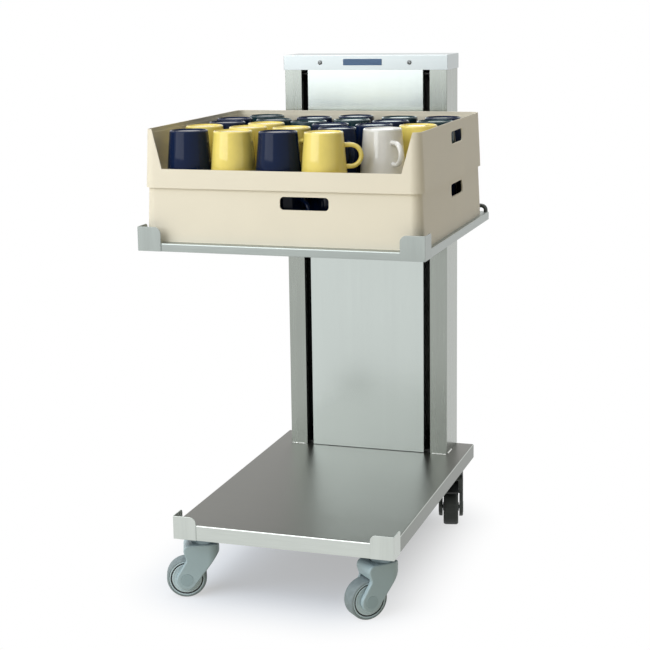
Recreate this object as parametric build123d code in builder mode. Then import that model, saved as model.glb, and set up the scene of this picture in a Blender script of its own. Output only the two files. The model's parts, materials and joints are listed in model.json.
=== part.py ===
from build123d import *

import os
from math import asin, atan, atan2, cos, degrees, hypot, radians, sin, sqrt

# Dish basket dispenser cart: a self-levelling cantilever platform on a mast, over a wheeled base.
# Millimetres. +X is the cart's right, +Y its back, +Z up. The origin is on the floor under the base's middle.

# Sheet metal and clearances
sheet = 1.5
cover_sheet = 1.2
bend_radius = 2.5
body_gap = 0.3
shaft_gap = 0.05
screw_gap = 0.2
overcut = 1.0

# Base
base_width = 420.0
base_depth = 650.0
deck_height = 152.0
base_skirt = 29.0
base_return = 12.0
base_corner = 3.0

# Corner guards, the same plate on the base and on the platform
guard_front = 45.0
guard_side = 42.0
guard_height = 44.0
guard_round = 12.0
guard_side_round = 7.0
guard_bend = 1.2

# Mast
cart_height = 985.0
mast_width = 345.0
mast_depth = 92.0
mast_setback = 1.0
post_width = 36.0
post_lip = 12.0
slot_width = 14.0
cover_return = 14.0
cover_floor_gap = 1.0
cap_height = 30.0
cap_gap = 0.5
plate_width = 82.0
plate_height = 13.0
plate_thick = 0.8
plate_shift = -4.0

# Mast inside: foot, guide rails, spring anchor
foot_plate_thick = 4.0
foot_plate_gap = 1.0
rail_wall = 2.0
rail_flange = 22.0
anchor_thick = 3.0
anchor_drop = 40.0
anchor_lip = 31.0
anchor_side_gap = 2.5
upstand_thick = 2.0
upstand_height = 20.0

# Platform
platform_width = 530.0
platform_depth = 530.0
platform_mast_gap = 17.0
platform_height = 674.0
platform_edge = 15.0
platform_return = 8.0
platform_rear_corner = 12.0
stop_rod = 8.0
stop_height = 16.0
stop_inset_x = 6.5
stop_inset_y = 10.0
stop_bend = 9.0
channel_width = 40.0
channel_sheet = 1.5
channel_end_gap = 5.0
channel_shifts = (-140.0, 110.0)

# Carriage: two arms through the slots, tied by a plate that the springs pull on
arm_thick = 5.0
arm_flange = 30.0
arm_flange_thick = 3.0
arm_inset = 75.0
arm_front_height = 12.0
arm_root_height = 84.0
arm_above = 66.0
arm_below = 112.0
arm_round = 10.0
arm_tip_round = 5.0
carriage_thick = 3.0
carriage_above = 60.0
carriage_below = 108.0
carriage_top_flange = 20.0
carriage_set = 22.0

# Guide rollers
roller_radius = 20.0
roller_width = 16.0
roller_axle_radius = 5.0
roller_upper = 45.0
roller_lower = 95.0
roller_side_room = 0.4
roller_recess = 2.0
roller_rim = 3.0
roller_hub = 6.0
axle_head_radius = 9.0
axle_head_thick = 4.0
axle_collar_radius = 8.0
axle_ring_radius = 7.0
axle_ring_thick = 2.0

# Extension springs
spring_radius = 9.0
spring_wire = 2.4
spring_bar = 2.0
spring_bar_radius = 1.5
spring_gap = 6.5
spring_places = (-95.0, -60.0, -25.0, 25.0, 60.0, 95.0)
hook_radius = 6.0
hook_drop = 3.0
hook_hole = 3.7
hook_edge = 6.5

# Stop buffers
buffer_radius = 8.0
upper_buffer = 14.7
lower_buffer = 20.7

# Fasteners
m8_radius = 4.0
m8_head_radius = 7.5
m8_head = 5.3
m8_nut = 6.5
foot_bolt_x = (45.0, 100.0)
foot_bolt_front = 26.0
foot_bolt_pitch = 48.0
cap_screw_x = 95.0
cap_screw_drop = 15.0
cap_screw_radius = 2.0
cap_screw_head = 4.2
cap_screw_dome = 2.4
back_screw_inset = 16.0
back_screw_rows = 4
back_screw_end = 60.0

# Casters
caster_height = 121.0
caster_inset_x = 37.0
caster_inset_front = 50.0
caster_inset_rear = 56.0
caster_offset = 33.0
wheel_radius = 37.5
wheel_width = 31.0
tread_width = 20.0
tyre_inner = 33.0
rim_inner = 31.0
disc_radius = 28.5
disc_step = 1.0
groove_depth = 5.0
hub_boss = 9.0
hub_side_gap = 0.6
wheel_axle_radius = 4.0
fork_width = 51.0
fork_slot = 35.2
fork_end_radius = 19.5
fork_arch = 41.0
fork_edge_round = 3.0
hood_front = 29.0
hood_rear = 38.0
hood_front_waist = 88.0
hood_rear_bulge = 91.0
hood_rear_waist = 75.0
hood_rear_neck = 33.0
hood_neck_round = 8.0
hood_shoulder = 11.0
hood_plan_round = 21.0
seat_radius = 23.0
seat_thick = 15.5
stem_radius = 6.0
stem_length = 21.0
stem_nut_radius = 10.5
stem_nut = 10.0
collar_radius = 9.0
collar_thick = 2.5
collar_drop = 18.0
collar_room = 0.5
axle_cap_radius = 11.5
axle_cap_thick = 2.0
axle_cap_recess = 1.6
rail_sheet = 2.0
rail_width = 60.0
rail_end_gap = 2.0

# Directions in which the casters trail, in degrees from +X towards +Y
caster_turns = {
    "front_left": 203.0,
    "front_right": 225.0,
    "rear_left": 45.0,
    "rear_right": 283.0,
}
braked = ("rear_left", "rear_right")

# Brake pedals
pedal_width = 30.0
pedal_side_gap = 0.5
pedal_pivot = (30.0, 87.0)
pedal_boss = 5.0
pedal_pin_radius = 2.0
pedal_pin_depth = 6.0
pedal_tip = (74.0, 80.0)
pedal_thick = 5.5
pedal_tip_round = 2.5
pedal_web = 12.5
pedal_shoe = (36.5, 76.8)
pocket_front = 21.0
pocket_low = 70.0
pocket_high = 95.0

# Dish baskets
basket_width = 518.0
basket_depth = 480.0
basket_height = 104.5
basket_draft = 5.0
basket_wall = 2.5
basket_floor = 3.0
basket_corner = 22.0
basket_rim_round = 0.6
ledge_depth = 0.9
ledge_height = 8.0
stack_overlap = 7.5
basket_shift = -6.0
basket_side_shift = -3.0
lattice_columns = 8
lattice_rows = 7
lattice_bar = 9.0
lattice_border = 26.0
lattice_round = 2.5
lattice_gap = 0.05
low_front_height = 34.0
low_front_half = 222.0
low_front_top_half = 241.0
handle_width = 90.0
handle_height = 23.0
handle_round = 7.0
handle_level = 75.0
handle_shift_x = 46.0
handle_shift_y = 34.0

# Mugs, stored upside down
mug_height = 90.0
mug_rim_radius = 42.0
mug_foot_radius = 35.0
mug_wall = 4.0
mug_floor = 5.0
mug_foot_recess = 2.5
mug_foot_ring = 4.0
mug_foot_draft = 1.0
mug_foot_edge = 2.0
mug_rim_edge = 1.0
grip_top = 66.5
grip_bottom = 28.5
grip_reach = 46.5
grip_thick = 8.5
grip_width = 10.0
grip_bite = 1.8

# Mugs in a basket: place from the basket's middle, the way the handle points, and the colour
mug_places = [
    (-190, -191, 130, "navy"),
    (-105, -191, 140, "yellow"),
    (-19, -191, 140, "navy"),
    (66, -191, 17, "yellow"),
    (150, -109, -45, "white"),
    (-200, -91, 120, "yellow"),
    (-108, -106, 40, "yellow"),
    (-23, -106, -40, "yellow"),
    (64, -106, -50, "navy"),
    (-188, -6, -50, "navy"),
    (-103, -21, -20, "yellow"),
    (-37, 34, -80, "teal"),
    (25, -24, -150, "navy"),
    (110, -26, 40, "navy"),
    (195, -30, -70, "yellow"),
    (-206, 80, 110, "navy"),
    (-118, 64, 80, "teal"),
    (35, 81, -60, "teal"),
    (118, 60, 40, "navy"),
    (204, 62, -60, "teal"),
    (-166, 156, 140, "teal"),
    (-54, 120, 120, "navy"),
    (18, 166, 150, "navy"),
    (112, 146, 120, "teal"),
    (198, 148, 130, "navy"),
]

# Levels and faces that several pieces share
base_front = -base_depth / 2
base_back = base_depth / 2
deck_under = deck_height - sheet
mast_back = base_back - mast_setback
mast_front = mast_back - mast_depth
mast_half = mast_width / 2
post_inner = mast_half - sheet
post_slot_face = mast_half - post_width
cover_half = post_slot_face - slot_width
mast_mid = (mast_front + mast_back) / 2
mast_top = cart_height - sheet
anchor_height = cart_height - anchor_drop
cover_inner = mast_front + cover_sheet
post_back = mast_back - cover_sheet
foot_top = deck_height + foot_plate_thick
lip_back = mast_front + sheet + post_lip
platform_back = mast_front - platform_mast_gap
platform_front = platform_back - platform_depth
platform_mid = (platform_front + platform_back) / 2
basket_y = platform_mid + basket_shift
channel_places = [platform_mid + shift for shift in channel_shifts]
platform_low = platform_height - platform_edge
arm_front = platform_front + arm_inset
arm_top = platform_low - body_gap
arm_mid = post_slot_face - slot_width / 2
arm_inner = arm_mid - arm_thick / 2
arm_outer = arm_mid + arm_thick / 2
arm_head = platform_height + arm_above
arm_foot = platform_height - arm_below
carriage_front = mast_front + carriage_set
carriage_low = platform_height - carriage_below
carriage_high = platform_height + carriage_above
spring_y = carriage_front + carriage_top_flange + spring_gap + spring_radius
caster_x = base_width / 2 - caster_inset_x
caster_front_y = base_depth / 2 - caster_inset_front
caster_rear_y = base_depth / 2 - caster_inset_rear
hood_top = caster_height - seat_thick - body_gap
step_pitch = basket_height - stack_overlap

caster_spots = {
    "front_left": (-caster_x, -caster_front_y),
    "front_right": (caster_x, -caster_front_y),
    "rear_left": (-caster_x, caster_rear_y),
    "rear_right": (caster_x, caster_rear_y),
}

os.makedirs("parts", exist_ok=True)


def save(piece, name):
    """Label a finished piece and write it to its own file."""
    piece.label = name
    export_step(piece, f"parts/{name}.step")


def hexagon_at(spots, low_z, radius, height):
    """Add a hexagonal head or nut at each spot, standing up from low_z."""
    with BuildSketch(Plane.XY.offset(low_z)) as heads:
        with Locations(*spots):
            RegularPolygon(radius, 6)
    extrude(heads.sketch, amount=height)


def rods_at(spots, low_z, radius, height, mode=Mode.ADD):
    """Add or cut a round rod at each spot, standing up from low_z."""
    with BuildSketch(Plane.XY.offset(low_z)) as rods:
        with Locations(*spots):
            Circle(radius)
    extrude(rods.sketch, amount=height, mode=mode)


def tangent_point(start, centre, radius, side):
    """Point where a line from start touches a circle, on the side given by +1 or -1."""
    run = (centre[0] - start[0], centre[1] - start[1])
    reach = hypot(*run)
    turn = atan2(run[1], run[0]) + side * asin(radius / reach)
    length = sqrt(reach**2 - radius**2)
    return (start[0] + length * cos(turn), start[1] + length * sin(turn))


# Folded trays: the base deck and the platform
def folded_tray(width, depth, middle_y, top_z, edge, lip, front_corner, rear_corner):
    """Sheet tray with its edges folded down and their lower rims folded in."""
    low = Plane((0, middle_y, top_z - edge))
    with BuildPart() as tray:
        with BuildSketch(low):
            Rectangle(width, depth)
            fillet(vertices().group_by(Axis.Y)[0], front_corner)
            fillet(vertices().group_by(Axis.Y)[-1], rear_corner)
        extrude(amount=edge)
        fillet(tray.faces().sort_by(Axis.Z)[-1].edges(), bend_radius)
        offset(amount=-sheet, openings=tray.faces().sort_by(Axis.Z)[0])
        with BuildSketch(low):
            Rectangle(width, depth)
            fillet(vertices().group_by(Axis.Y)[0], front_corner)
            fillet(vertices().group_by(Axis.Y)[-1], rear_corner)
            Rectangle(width - 2 * lip, depth - 2 * lip, mode=Mode.SUBTRACT)
        extrude(amount=sheet)
    return tray


base_tray = folded_tray(
    base_width, base_depth, 0, deck_height, base_skirt, base_return, base_corner, base_corner
)
foot_spots = [
    (side * x, mast_front + foot_bolt_front + row * foot_bolt_pitch)
    for side in (-1, 1)
    for x in foot_bolt_x
    for row in (0, 1)
]
with BuildPart() as base_deck:
    add(base_tray.part)
    hole_depth = sheet + 2 * overcut
    rods_at(foot_spots, deck_under - overcut, m8_radius + screw_gap, hole_depth, Mode.SUBTRACT)
save(base_deck.part, "base_tray")

platform_tray = folded_tray(
    platform_width,
    platform_depth,
    platform_mid,
    platform_height,
    platform_edge,
    platform_return,
    base_corner,
    platform_rear_corner,
)
save(platform_tray.part, "platform_tray")


# Corner guards
def corner_guard(side, half_width, front_y, low_z):
    """Angle plate folded round a front corner of a tray, standing above its deck."""
    middle_z = low_z + guard_height / 2
    with BuildPart() as guard:
        with BuildSketch(Plane.XZ.offset(-front_y)):
            with Locations((side * (half_width + sheet - guard_front / 2), middle_z)):
                Rectangle(guard_front, guard_height)
            free_end = vertices().group_by(Axis.Y)[-1].sort_by(Axis.X)
            fillet(free_end[0 if side > 0 else -1], guard_round)
        extrude(amount=sheet)
        with BuildSketch(Plane.YZ.offset(side * half_width)):
            with Locations((front_y - sheet + guard_side / 2, middle_z)):
                Rectangle(guard_side, guard_height)
            fillet(vertices().group_by(Axis.Y)[-1].sort_by(Axis.X)[-1], guard_side_round)
        extrude(amount=side * sheet)
        corner = (side * (half_width + sheet), front_y - sheet, middle_z)
        fillet(guard.edges().filter_by(Axis.Z).sort_by_distance(corner)[0], guard_bend)
    return guard


for side, word in ((-1, "left"), (1, "right")):
    base_guard = corner_guard(side, base_width / 2, base_front, deck_height - base_skirt)
    save(base_guard.part, f"base_guard_{word}")
    platform_guard = corner_guard(side, platform_width / 2, platform_front, platform_low)
    save(platform_guard.part, f"platform_guard_{word}")


# Caster rails: channels under the deck, front and rear
rail_length = base_width - 2 * (base_return + rail_end_gap)


def caster_rail(middle_y):
    """Open channel welded under the deck, with a hole for each caster stem."""
    height = deck_under - caster_height
    with BuildPart() as rail:
        with BuildSketch(Plane.YZ.offset(-rail_length / 2)):
            with Locations((middle_y, caster_height)):
                Rectangle(rail_width, height, align=(Align.CENTER, Align.MIN))
            with Locations((middle_y, caster_height + rail_sheet)):
                Rectangle(
                    rail_width - 2 * rail_sheet,
                    height,
                    align=(Align.CENTER, Align.MIN),
                    mode=Mode.SUBTRACT,
                )
        extrude(amount=rail_length)
        stems = [(-caster_x, middle_y), (caster_x, middle_y)]
        hole = stem_radius + screw_gap
        rods_at(stems, caster_height - overcut, hole, rail_sheet + 2 * overcut, Mode.SUBTRACT)
    return rail


for middle_y, word in ((-caster_front_y, "front"), (caster_rear_y, "rear")):
    save(caster_rail(middle_y).part, f"caster_rail_{word}")

# Caster stems: seat disc, threaded end with its nut, and the pin that the fork turns on
with BuildPart() as caster_stems:
    spots = list(caster_spots.values())
    collar_low = hood_top - collar_drop - collar_thick
    rods_at(spots, caster_height - seat_thick, seat_radius, seat_thick)
    rods_at(spots, collar_low, stem_radius, caster_height + stem_length - collar_low)
    rods_at(spots, collar_low, collar_radius, collar_thick)
    hexagon_at(spots, caster_height + rail_sheet, stem_nut_radius, stem_nut)
save(caster_stems.part, "caster_stems")


# One caster about its own swivel axis, standing on z = 0 and trailing towards +X
axle_point = (caster_offset, wheel_radius)
wheel_centre = (caster_offset, 0, wheel_radius)
wheel_section = Plane(origin=wheel_centre, x_dir=(0, 0, 1), z_dir=(-1, 0, 0))
axle_line = Axis(wheel_centre, (0, 1, 0))


def caster_fork(with_pedal):
    """Moulded fork: a round hood on the swivel and two legs down to the axle."""
    front_waist = (-hood_front, hood_front_waist)
    rear_waist = (hood_rear_neck, hood_rear_waist)
    front_touch = tangent_point(front_waist, axle_point, fork_end_radius, -1)
    rear_touch = tangent_point(rear_waist, axle_point, fork_end_radius, 1)
    with BuildPart() as fork:
        with BuildSketch(Plane.XZ.offset(-fork_width / 2)):
            with BuildLine():
                Polyline(
                    front_touch,
                    front_waist,
                    (-hood_front, hood_top),
                    (hood_rear, hood_top),
                    (hood_rear, hood_rear_bulge),
                    rear_waist,
                    rear_touch,
                )
                ThreePointArc(rear_touch, (caster_offset, wheel_radius - fork_end_radius), front_touch)
            make_face()
            neck = [corner for corner in vertices() if abs(corner.Y - hood_rear_waist) < body_gap]
            fillet(neck, hood_neck_round)
            fillet(vertices().group_by(Axis.Y)[-1], hood_shoulder)
        extrude(amount=fork_width)
        with BuildSketch():
            reach = caster_offset + fork_end_radius
            with Locations(((reach - hood_front) / 2, 0)):
                Rectangle(reach + hood_front, fork_width)
            fillet(vertices().group_by(Axis.X)[0], hood_plan_round)
        extrude(amount=caster_height, mode=Mode.INTERSECT)
        sides = fork.faces().filter_by(GeomType.PLANE).sort_by(Axis.Y)
        fillet(sides[0].edges() + sides[-1].edges(), fork_edge_round)
        with BuildSketch(Plane.XZ.offset(-fork_slot / 2)):
            with Locations(axle_point):
                Circle(fork_arch)
        extrude(amount=fork_slot, mode=Mode.SUBTRACT)
        with BuildSketch(Plane.XY.offset(wheel_radius)):
            Circle(collar_radius + collar_room)
        extrude(amount=hood_top - collar_drop + body_gap - wheel_radius, mode=Mode.SUBTRACT)
        with BuildSketch(Plane.XY.offset(wheel_radius)):
            Circle(stem_radius + shaft_gap)
        extrude(amount=caster_height, mode=Mode.SUBTRACT)
        with BuildSketch(Plane.XZ.offset(-fork_width)):
            with Locations(axle_point):
                Circle(wheel_axle_radius + screw_gap)
        extrude(amount=2 * fork_width, mode=Mode.SUBTRACT)
        for face in (-1, 1):
            with BuildSketch(Plane.XZ.offset(face * (fork_width / 2 - axle_cap_recess))):
                with Locations(axle_point):
                    Circle(axle_cap_radius + screw_gap)
            extrude(amount=face * fork_width, mode=Mode.SUBTRACT)
        if with_pedal:
            half_pocket = pedal_width / 2 + pedal_side_gap
            with BuildSketch(Plane.XZ.offset(-half_pocket)):
                with Locations((pocket_front, pocket_low)):
                    Rectangle(
                        hood_rear + wheel_radius,
                        pocket_high - pocket_low,
                        align=(Align.MIN, Align.MIN),
                    )
            extrude(amount=2 * half_pocket, mode=Mode.SUBTRACT)
            half_pins = pedal_width / 2 + pedal_pin_depth + body_gap
            with BuildSketch(Plane.XZ.offset(-half_pins)):
                with Locations(pedal_pivot):
                    Circle(pedal_pin_radius + shaft_gap)
            extrude(amount=2 * half_pins, mode=Mode.SUBTRACT)
    return fork


# Axle with a flat cap at each end, flush in the fork's legs
cap_inner = fork_width / 2 - axle_cap_recess
with BuildPart() as caster_axle:
    with BuildSketch(wheel_section):
        Rectangle(wheel_axle_radius, 2 * cap_inner, align=(Align.MIN, Align.CENTER))
        for face in (-1, 1):
            with Locations((0, face * (cap_inner + axle_cap_thick / 2))):
                Rectangle(axle_cap_radius, axle_cap_thick, align=(Align.MIN, Align.CENTER))
    revolve(axis=axle_line)

# Moulded wheel: boss, disc, a groove on each side and the rim that carries the tyre
wheel_half = wheel_width / 2
boss_half = fork_slot / 2 - hub_side_gap
disc_half = wheel_half - disc_step
wheel_bore = wheel_axle_radius + shaft_gap
with BuildPart() as caster_wheel:
    with BuildSketch(wheel_section):
        Rectangle(tyre_inner, 2 * wheel_half, align=(Align.MIN, Align.CENTER))
        Rectangle(
            disc_radius, 2 * (wheel_half + overcut), align=(Align.MIN, Align.CENTER), mode=Mode.SUBTRACT
        )
        Rectangle(disc_radius, 2 * disc_half, align=(Align.MIN, Align.CENTER))
        Rectangle(hub_boss, 2 * boss_half, align=(Align.MIN, Align.CENTER))
        Rectangle(
            wheel_bore,
            2 * (wheel_half + boss_half),
            align=(Align.MIN, Align.CENTER),
            mode=Mode.SUBTRACT,
        )
        for face in (-1, 1):
            with Locations((disc_radius, face * wheel_half)):
                Rectangle(
                    rim_inner - disc_radius,
                    2 * groove_depth,
                    align=(Align.MIN, Align.CENTER),
                    mode=Mode.SUBTRACT,
                )
    revolve(axis=axle_line)

# Tyre with a flat tread and round shoulders
tread_half = tread_width / 2
shoulder_out = tread_half + (wheel_half - tread_half) * cos(radians(45))
shoulder_up = tyre_inner + (wheel_radius - tyre_inner) * sin(radians(45))
with BuildPart() as caster_tyre:
    with BuildSketch(wheel_section):
        with BuildLine():
            Line((tyre_inner, -wheel_half), (tyre_inner, wheel_half))
            ThreePointArc(
                (tyre_inner, wheel_half), (shoulder_up, shoulder_out), (wheel_radius, tread_half)
            )
            Line((wheel_radius, tread_half), (wheel_radius, -tread_half))
            ThreePointArc(
                (wheel_radius, -tread_half), (shoulder_up, -shoulder_out), (tyre_inner, -wheel_half)
            )
        make_face()
    revolve(axis=axle_line)

# Brake pedal on two moulded pins, with a shoe over the tyre
pivot_x, pivot_z = pedal_pivot
tip_x, tip_z = pedal_tip
with BuildPart() as brake_pedal:
    with BuildSketch(Plane.XZ.offset(-pedal_width / 2)):
        with Locations(pedal_pivot):
            Circle(pedal_boss)
        with BuildLine():
            Polyline(
                (pivot_x, pivot_z + pedal_boss),
                (tip_x, tip_z + pedal_thick / 2),
                (tip_x, tip_z - pedal_thick / 2),
                (pivot_x + pedal_web, pivot_z - pedal_boss),
                pedal_shoe,
                (pivot_x, pivot_z - pedal_boss),
                close=True,
            )
        make_face()
        fillet(vertices().group_by(Axis.X)[-1], pedal_tip_round)
    extrude(amount=pedal_width)
    pin_half = pedal_width / 2 + pedal_pin_depth
    with BuildSketch(Plane.XZ.offset(-pin_half)):
        with Locations(pedal_pivot):
            Circle(pedal_pin_radius)
    extrude(amount=2 * pin_half)

# The four casters, each turned to its trailing direction
plain_fork = caster_fork(False)
braked_fork = caster_fork(True)
for name, (x, y) in caster_spots.items():
    pieces = {
        "caster_fork": braked_fork if name in braked else plain_fork,
        "caster_axle": caster_axle,
        "caster_wheel": caster_wheel,
        "caster_tyre": caster_tyre,
    }
    if name in braked:
        pieces["brake_pedal"] = brake_pedal
    for word, piece in pieces.items():
        with BuildPart() as placed:
            with Locations(Location((x, y, 0), (0, 0, caster_turns[name]))):
                add(piece.part)
        save(placed.part, f"{word}_{name}")


# Mast posts: folded channels that leave a slot beside the front cover
def mast_post(side):
    """Folded channel with a side wall, a front and a back flange and a lip along the slot."""
    outer = side * mast_half
    flange = side * (mast_half - post_width / 2)
    lip = side * (post_slot_face + sheet / 2)
    depth = post_back - mast_front
    with BuildPart() as post:
        with BuildSketch(Plane.XY.offset(deck_height)):
            with Locations((outer - side * sheet / 2, mast_front + depth / 2)):
                Rectangle(sheet, depth)
            with Locations((flange, mast_front + sheet / 2), (flange, post_back - sheet / 2)):
                Rectangle(post_width, sheet)
            with Locations((lip, mast_front + sheet / 2 + post_lip / 2)):
                Rectangle(sheet, post_lip + sheet)
        extrude(amount=mast_top - deck_height)
        corner = (outer, mast_front, mast_top / 2)
        fillet(post.edges().filter_by(Axis.Z).sort_by_distance(corner)[0], guard_bend)
    return post


for side, word in ((-1, "left"), (1, "right")):
    save(mast_post(side).part, f"mast_post_{word}")

# Front cover between the slots
cap_screw_z = cart_height - cap_screw_drop
cap_screw_spots = [(-cap_screw_x, cap_screw_z), (cap_screw_x, cap_screw_z)]
cover_low = deck_height + cover_floor_gap
with BuildPart() as mast_front_cover:
    with BuildSketch(Plane.XY.offset(cover_low)):
        with Locations((0, mast_front)):
            Rectangle(2 * cover_half, cover_return, align=(Align.CENTER, Align.MIN))
        with Locations((0, cover_inner)):
            Rectangle(
                2 * (cover_half - cover_sheet),
                cover_return,
                align=(Align.CENTER, Align.MIN),
                mode=Mode.SUBTRACT,
            )
    extrude(amount=mast_top - body_gap - cover_low)
    with BuildSketch(Plane.XZ.offset(-mast_front - cover_return)):
        with Locations(*cap_screw_spots):
            Circle(cap_screw_radius + screw_gap)
    extrude(amount=2 * cover_return, mode=Mode.SUBTRACT)
save(mast_front_cover.part, "mast_front_cover")

# Back cover, screwed to the posts' back flanges
back_screw_pitch = (mast_top - deck_height - 2 * back_screw_end) / (back_screw_rows - 1)
back_screw_spots = [
    (side * (mast_half - back_screw_inset), deck_height + back_screw_end + row * back_screw_pitch)
    for side in (-1, 1)
    for row in range(back_screw_rows)
]
with BuildPart() as mast_back_cover:
    with BuildSketch(Plane.XZ.offset(-mast_back)):
        with Locations((0, cover_low)):
            Rectangle(mast_width, mast_top - cover_low, align=(Align.CENTER, Align.MIN))
        with Locations(*back_screw_spots):
            Circle(cap_screw_radius + screw_gap, mode=Mode.SUBTRACT)
    extrude(amount=cover_sheet)
save(mast_back_cover.part, "mast_back_cover")

# Cap: a tray upside down over the mast
cap_wall = cap_gap + sheet
with BuildPart() as mast_top_cap:
    with BuildSketch(Plane((0, mast_mid, cart_height - cap_height))):
        Rectangle(mast_width + 2 * cap_wall, mast_depth + 2 * cap_wall)
        fillet(vertices(), guard_bend)
    extrude(amount=cap_height)
    fillet(mast_top_cap.faces().sort_by(Axis.Z)[-1].edges(), guard_bend)
    with BuildSketch(Plane((0, mast_mid, cart_height - cap_height))):
        Rectangle(mast_width + 2 * cap_gap, mast_depth + 2 * cap_gap)
    extrude(amount=cap_height - sheet, mode=Mode.SUBTRACT)
    with BuildSketch(Plane.XZ.offset(-mast_front + cap_wall + overcut)):
        with Locations(*cap_screw_spots):
            Circle(cap_screw_radius + screw_gap)
    extrude(amount=-(cap_wall + 2 * overcut), mode=Mode.SUBTRACT)
save(mast_top_cap.part, "mast_top_cap")

# Blank plate on the cap's front
cap_front = mast_front - cap_wall
with BuildPart() as name_plate:
    with BuildSketch(Plane.XZ.offset(-cap_front)):
        with Locations((plate_shift, cap_screw_z + plate_thick)):
            RectangleRounded(plate_width, plate_height, plate_thick)
    extrude(amount=plate_thick)
save(name_plate.part, "name_plate")

# Screws of the cap and of the back cover
anchor_front = cover_inner
with BuildPart() as cover_screws:
    with BuildSketch(Plane.XZ.offset(-cap_front)):
        with Locations(*cap_screw_spots):
            Circle(cap_screw_head)
    extrude(amount=cap_screw_dome)
    fillet(cover_screws.faces().sort_by(Axis.Y)[:2].edges(), cap_screw_dome / 2)
    with BuildSketch(Plane.XZ.offset(-cap_front)):
        with Locations(*cap_screw_spots):
            Circle(cap_screw_radius)
    extrude(amount=-(anchor_front + anchor_thick - cap_front))
    with BuildSketch(Plane.XZ.offset(-mast_back)):
        with Locations(*back_screw_spots):
            Circle(cap_screw_head)
    extrude(amount=-cap_screw_dome)
    heads = cover_screws.faces().group_by(Axis.Y)[-1]
    fillet(heads.edges(), cap_screw_dome / 2)
    with BuildSketch(Plane.XZ.offset(-mast_back)):
        with Locations(*back_screw_spots):
            Circle(cap_screw_radius)
    extrude(amount=cover_sheet)
save(cover_screws.part, "cover_screws")

# Foot plate inside the mast, with an upstand that holds the foot of the front cover
upstand_width = 2 * (cover_half - anchor_side_gap)
foot_front = lip_back + foot_plate_gap
foot_back = post_back - sheet
with BuildPart() as mast_foot_plate:
    with BuildSketch(Plane.XY.offset(deck_height)):
        with Locations((0, (foot_front + foot_back) / 2)):
            Rectangle(2 * post_inner, foot_back - foot_front)
        with Locations((0, cover_inner)):
            Rectangle(upstand_width, foot_front - cover_inner, align=(Align.CENTER, Align.MIN))
        with Locations(*foot_spots):
            Circle(m8_radius + screw_gap, mode=Mode.SUBTRACT)
    extrude(amount=foot_plate_thick)
    with BuildSketch(Plane.XY.offset(deck_height)):
        with Locations((0, cover_inner)):
            Rectangle(upstand_width, upstand_thick, align=(Align.CENTER, Align.MIN))
    extrude(amount=upstand_height)
save(mast_foot_plate.part, "mast_foot_plate")

# Bolts through the foot plate and the deck, with their nuts
with BuildPart() as mast_foot_bolts:
    hexagon_at(foot_spots, foot_top, m8_head_radius, m8_head)
    rods_at(foot_spots, deck_under - m8_nut, m8_radius, foot_top - deck_under + m8_nut)
    hexagon_at(foot_spots, deck_under - m8_nut, m8_head_radius, m8_nut)
save(mast_foot_bolts.part, "mast_foot_bolts")

# Guide rails on the posts' side walls
channel_half = roller_radius + body_gap


def guide_rail(side):
    """Channel that opens towards the middle of the mast and holds two rollers."""
    with BuildPart() as rail:
        with BuildSketch(Plane.XY.offset(foot_top)):
            with Locations((side * (post_inner - rail_wall / 2), mast_mid)):
                Rectangle(rail_wall, 2 * (channel_half + rail_wall))
            flange_x = side * (post_inner - rail_flange / 2)
            flange_y = channel_half + rail_wall / 2
            with Locations((flange_x, mast_mid - flange_y), (flange_x, mast_mid + flange_y)):
                Rectangle(rail_flange, rail_wall)
        extrude(amount=anchor_height - foot_top)
    return rail


for side, word in ((-1, "left"), (1, "right")):
    save(guide_rail(side).part, f"guide_rail_{word}")

# Spring anchor: a plate across the rails' tops, with a front lip that takes the cap's screws
hook_y = spring_y - sqrt(hook_radius**2 - hook_drop**2)
anchor_back = hook_y + hook_edge
with BuildPart() as spring_anchor_bar:
    with BuildSketch(Plane.XY.offset(anchor_height)):
        with Locations((0, foot_front)):
            Rectangle(2 * post_inner, anchor_back - foot_front, align=(Align.CENTER, Align.MIN))
        with Locations((0, anchor_front)):
            Rectangle(
                2 * (cover_half - anchor_side_gap),
                foot_front - anchor_front,
                align=(Align.CENTER, Align.MIN),
            )
        with Locations(*[(x, hook_y) for x in spring_places]):
            Circle(hook_hole, mode=Mode.SUBTRACT)
    extrude(amount=anchor_thick)
    with BuildSketch(Plane.XY.offset(anchor_height)):
        with Locations((0, anchor_front)):
            Rectangle(
                2 * (cover_half - anchor_side_gap), anchor_thick, align=(Align.CENTER, Align.MIN)
            )
    extrude(amount=anchor_lip)
    with BuildSketch(Plane.XZ.offset(-anchor_front + overcut)):
        with Locations(*cap_screw_spots):
            Circle(cap_screw_radius + screw_gap)
    extrude(amount=-(anchor_thick + 2 * overcut), mode=Mode.SUBTRACT)
save(spring_anchor_bar.part, "spring_anchor_bar")

# Stop buffers: two under the anchor and two on the foot plate
buffer_spots = [(-arm_mid, mast_mid), (arm_mid, mast_mid)]
with BuildPart() as stop_buffers:
    rods_at(buffer_spots, anchor_height - upper_buffer, buffer_radius, upper_buffer)
    rods_at(buffer_spots, foot_top, buffer_radius, lower_buffer)
save(stop_buffers.part, "stop_buffers")

# Rod along the platform's back edge that stops a basket
rod_x = platform_width / 2 - stop_inset_x
rod_y = platform_back - stop_inset_y
rod_top = platform_height + stop_height - stop_rod / 2
with BuildPart() as rear_stop_rail:
    with BuildLine() as rod_line:
        FilletPolyline(
            (-rod_x, rod_y, platform_height),
            (-rod_x, rod_y, rod_top),
            (rod_x, rod_y, rod_top),
            (rod_x, rod_y, platform_height),
            radius=stop_bend,
        )
    with BuildSketch(Plane((-rod_x, rod_y, platform_height))):
        Circle(stop_rod / 2)
    sweep(path=rod_line.line)
save(rear_stop_rail.part, "rear_stop_rail")

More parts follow.
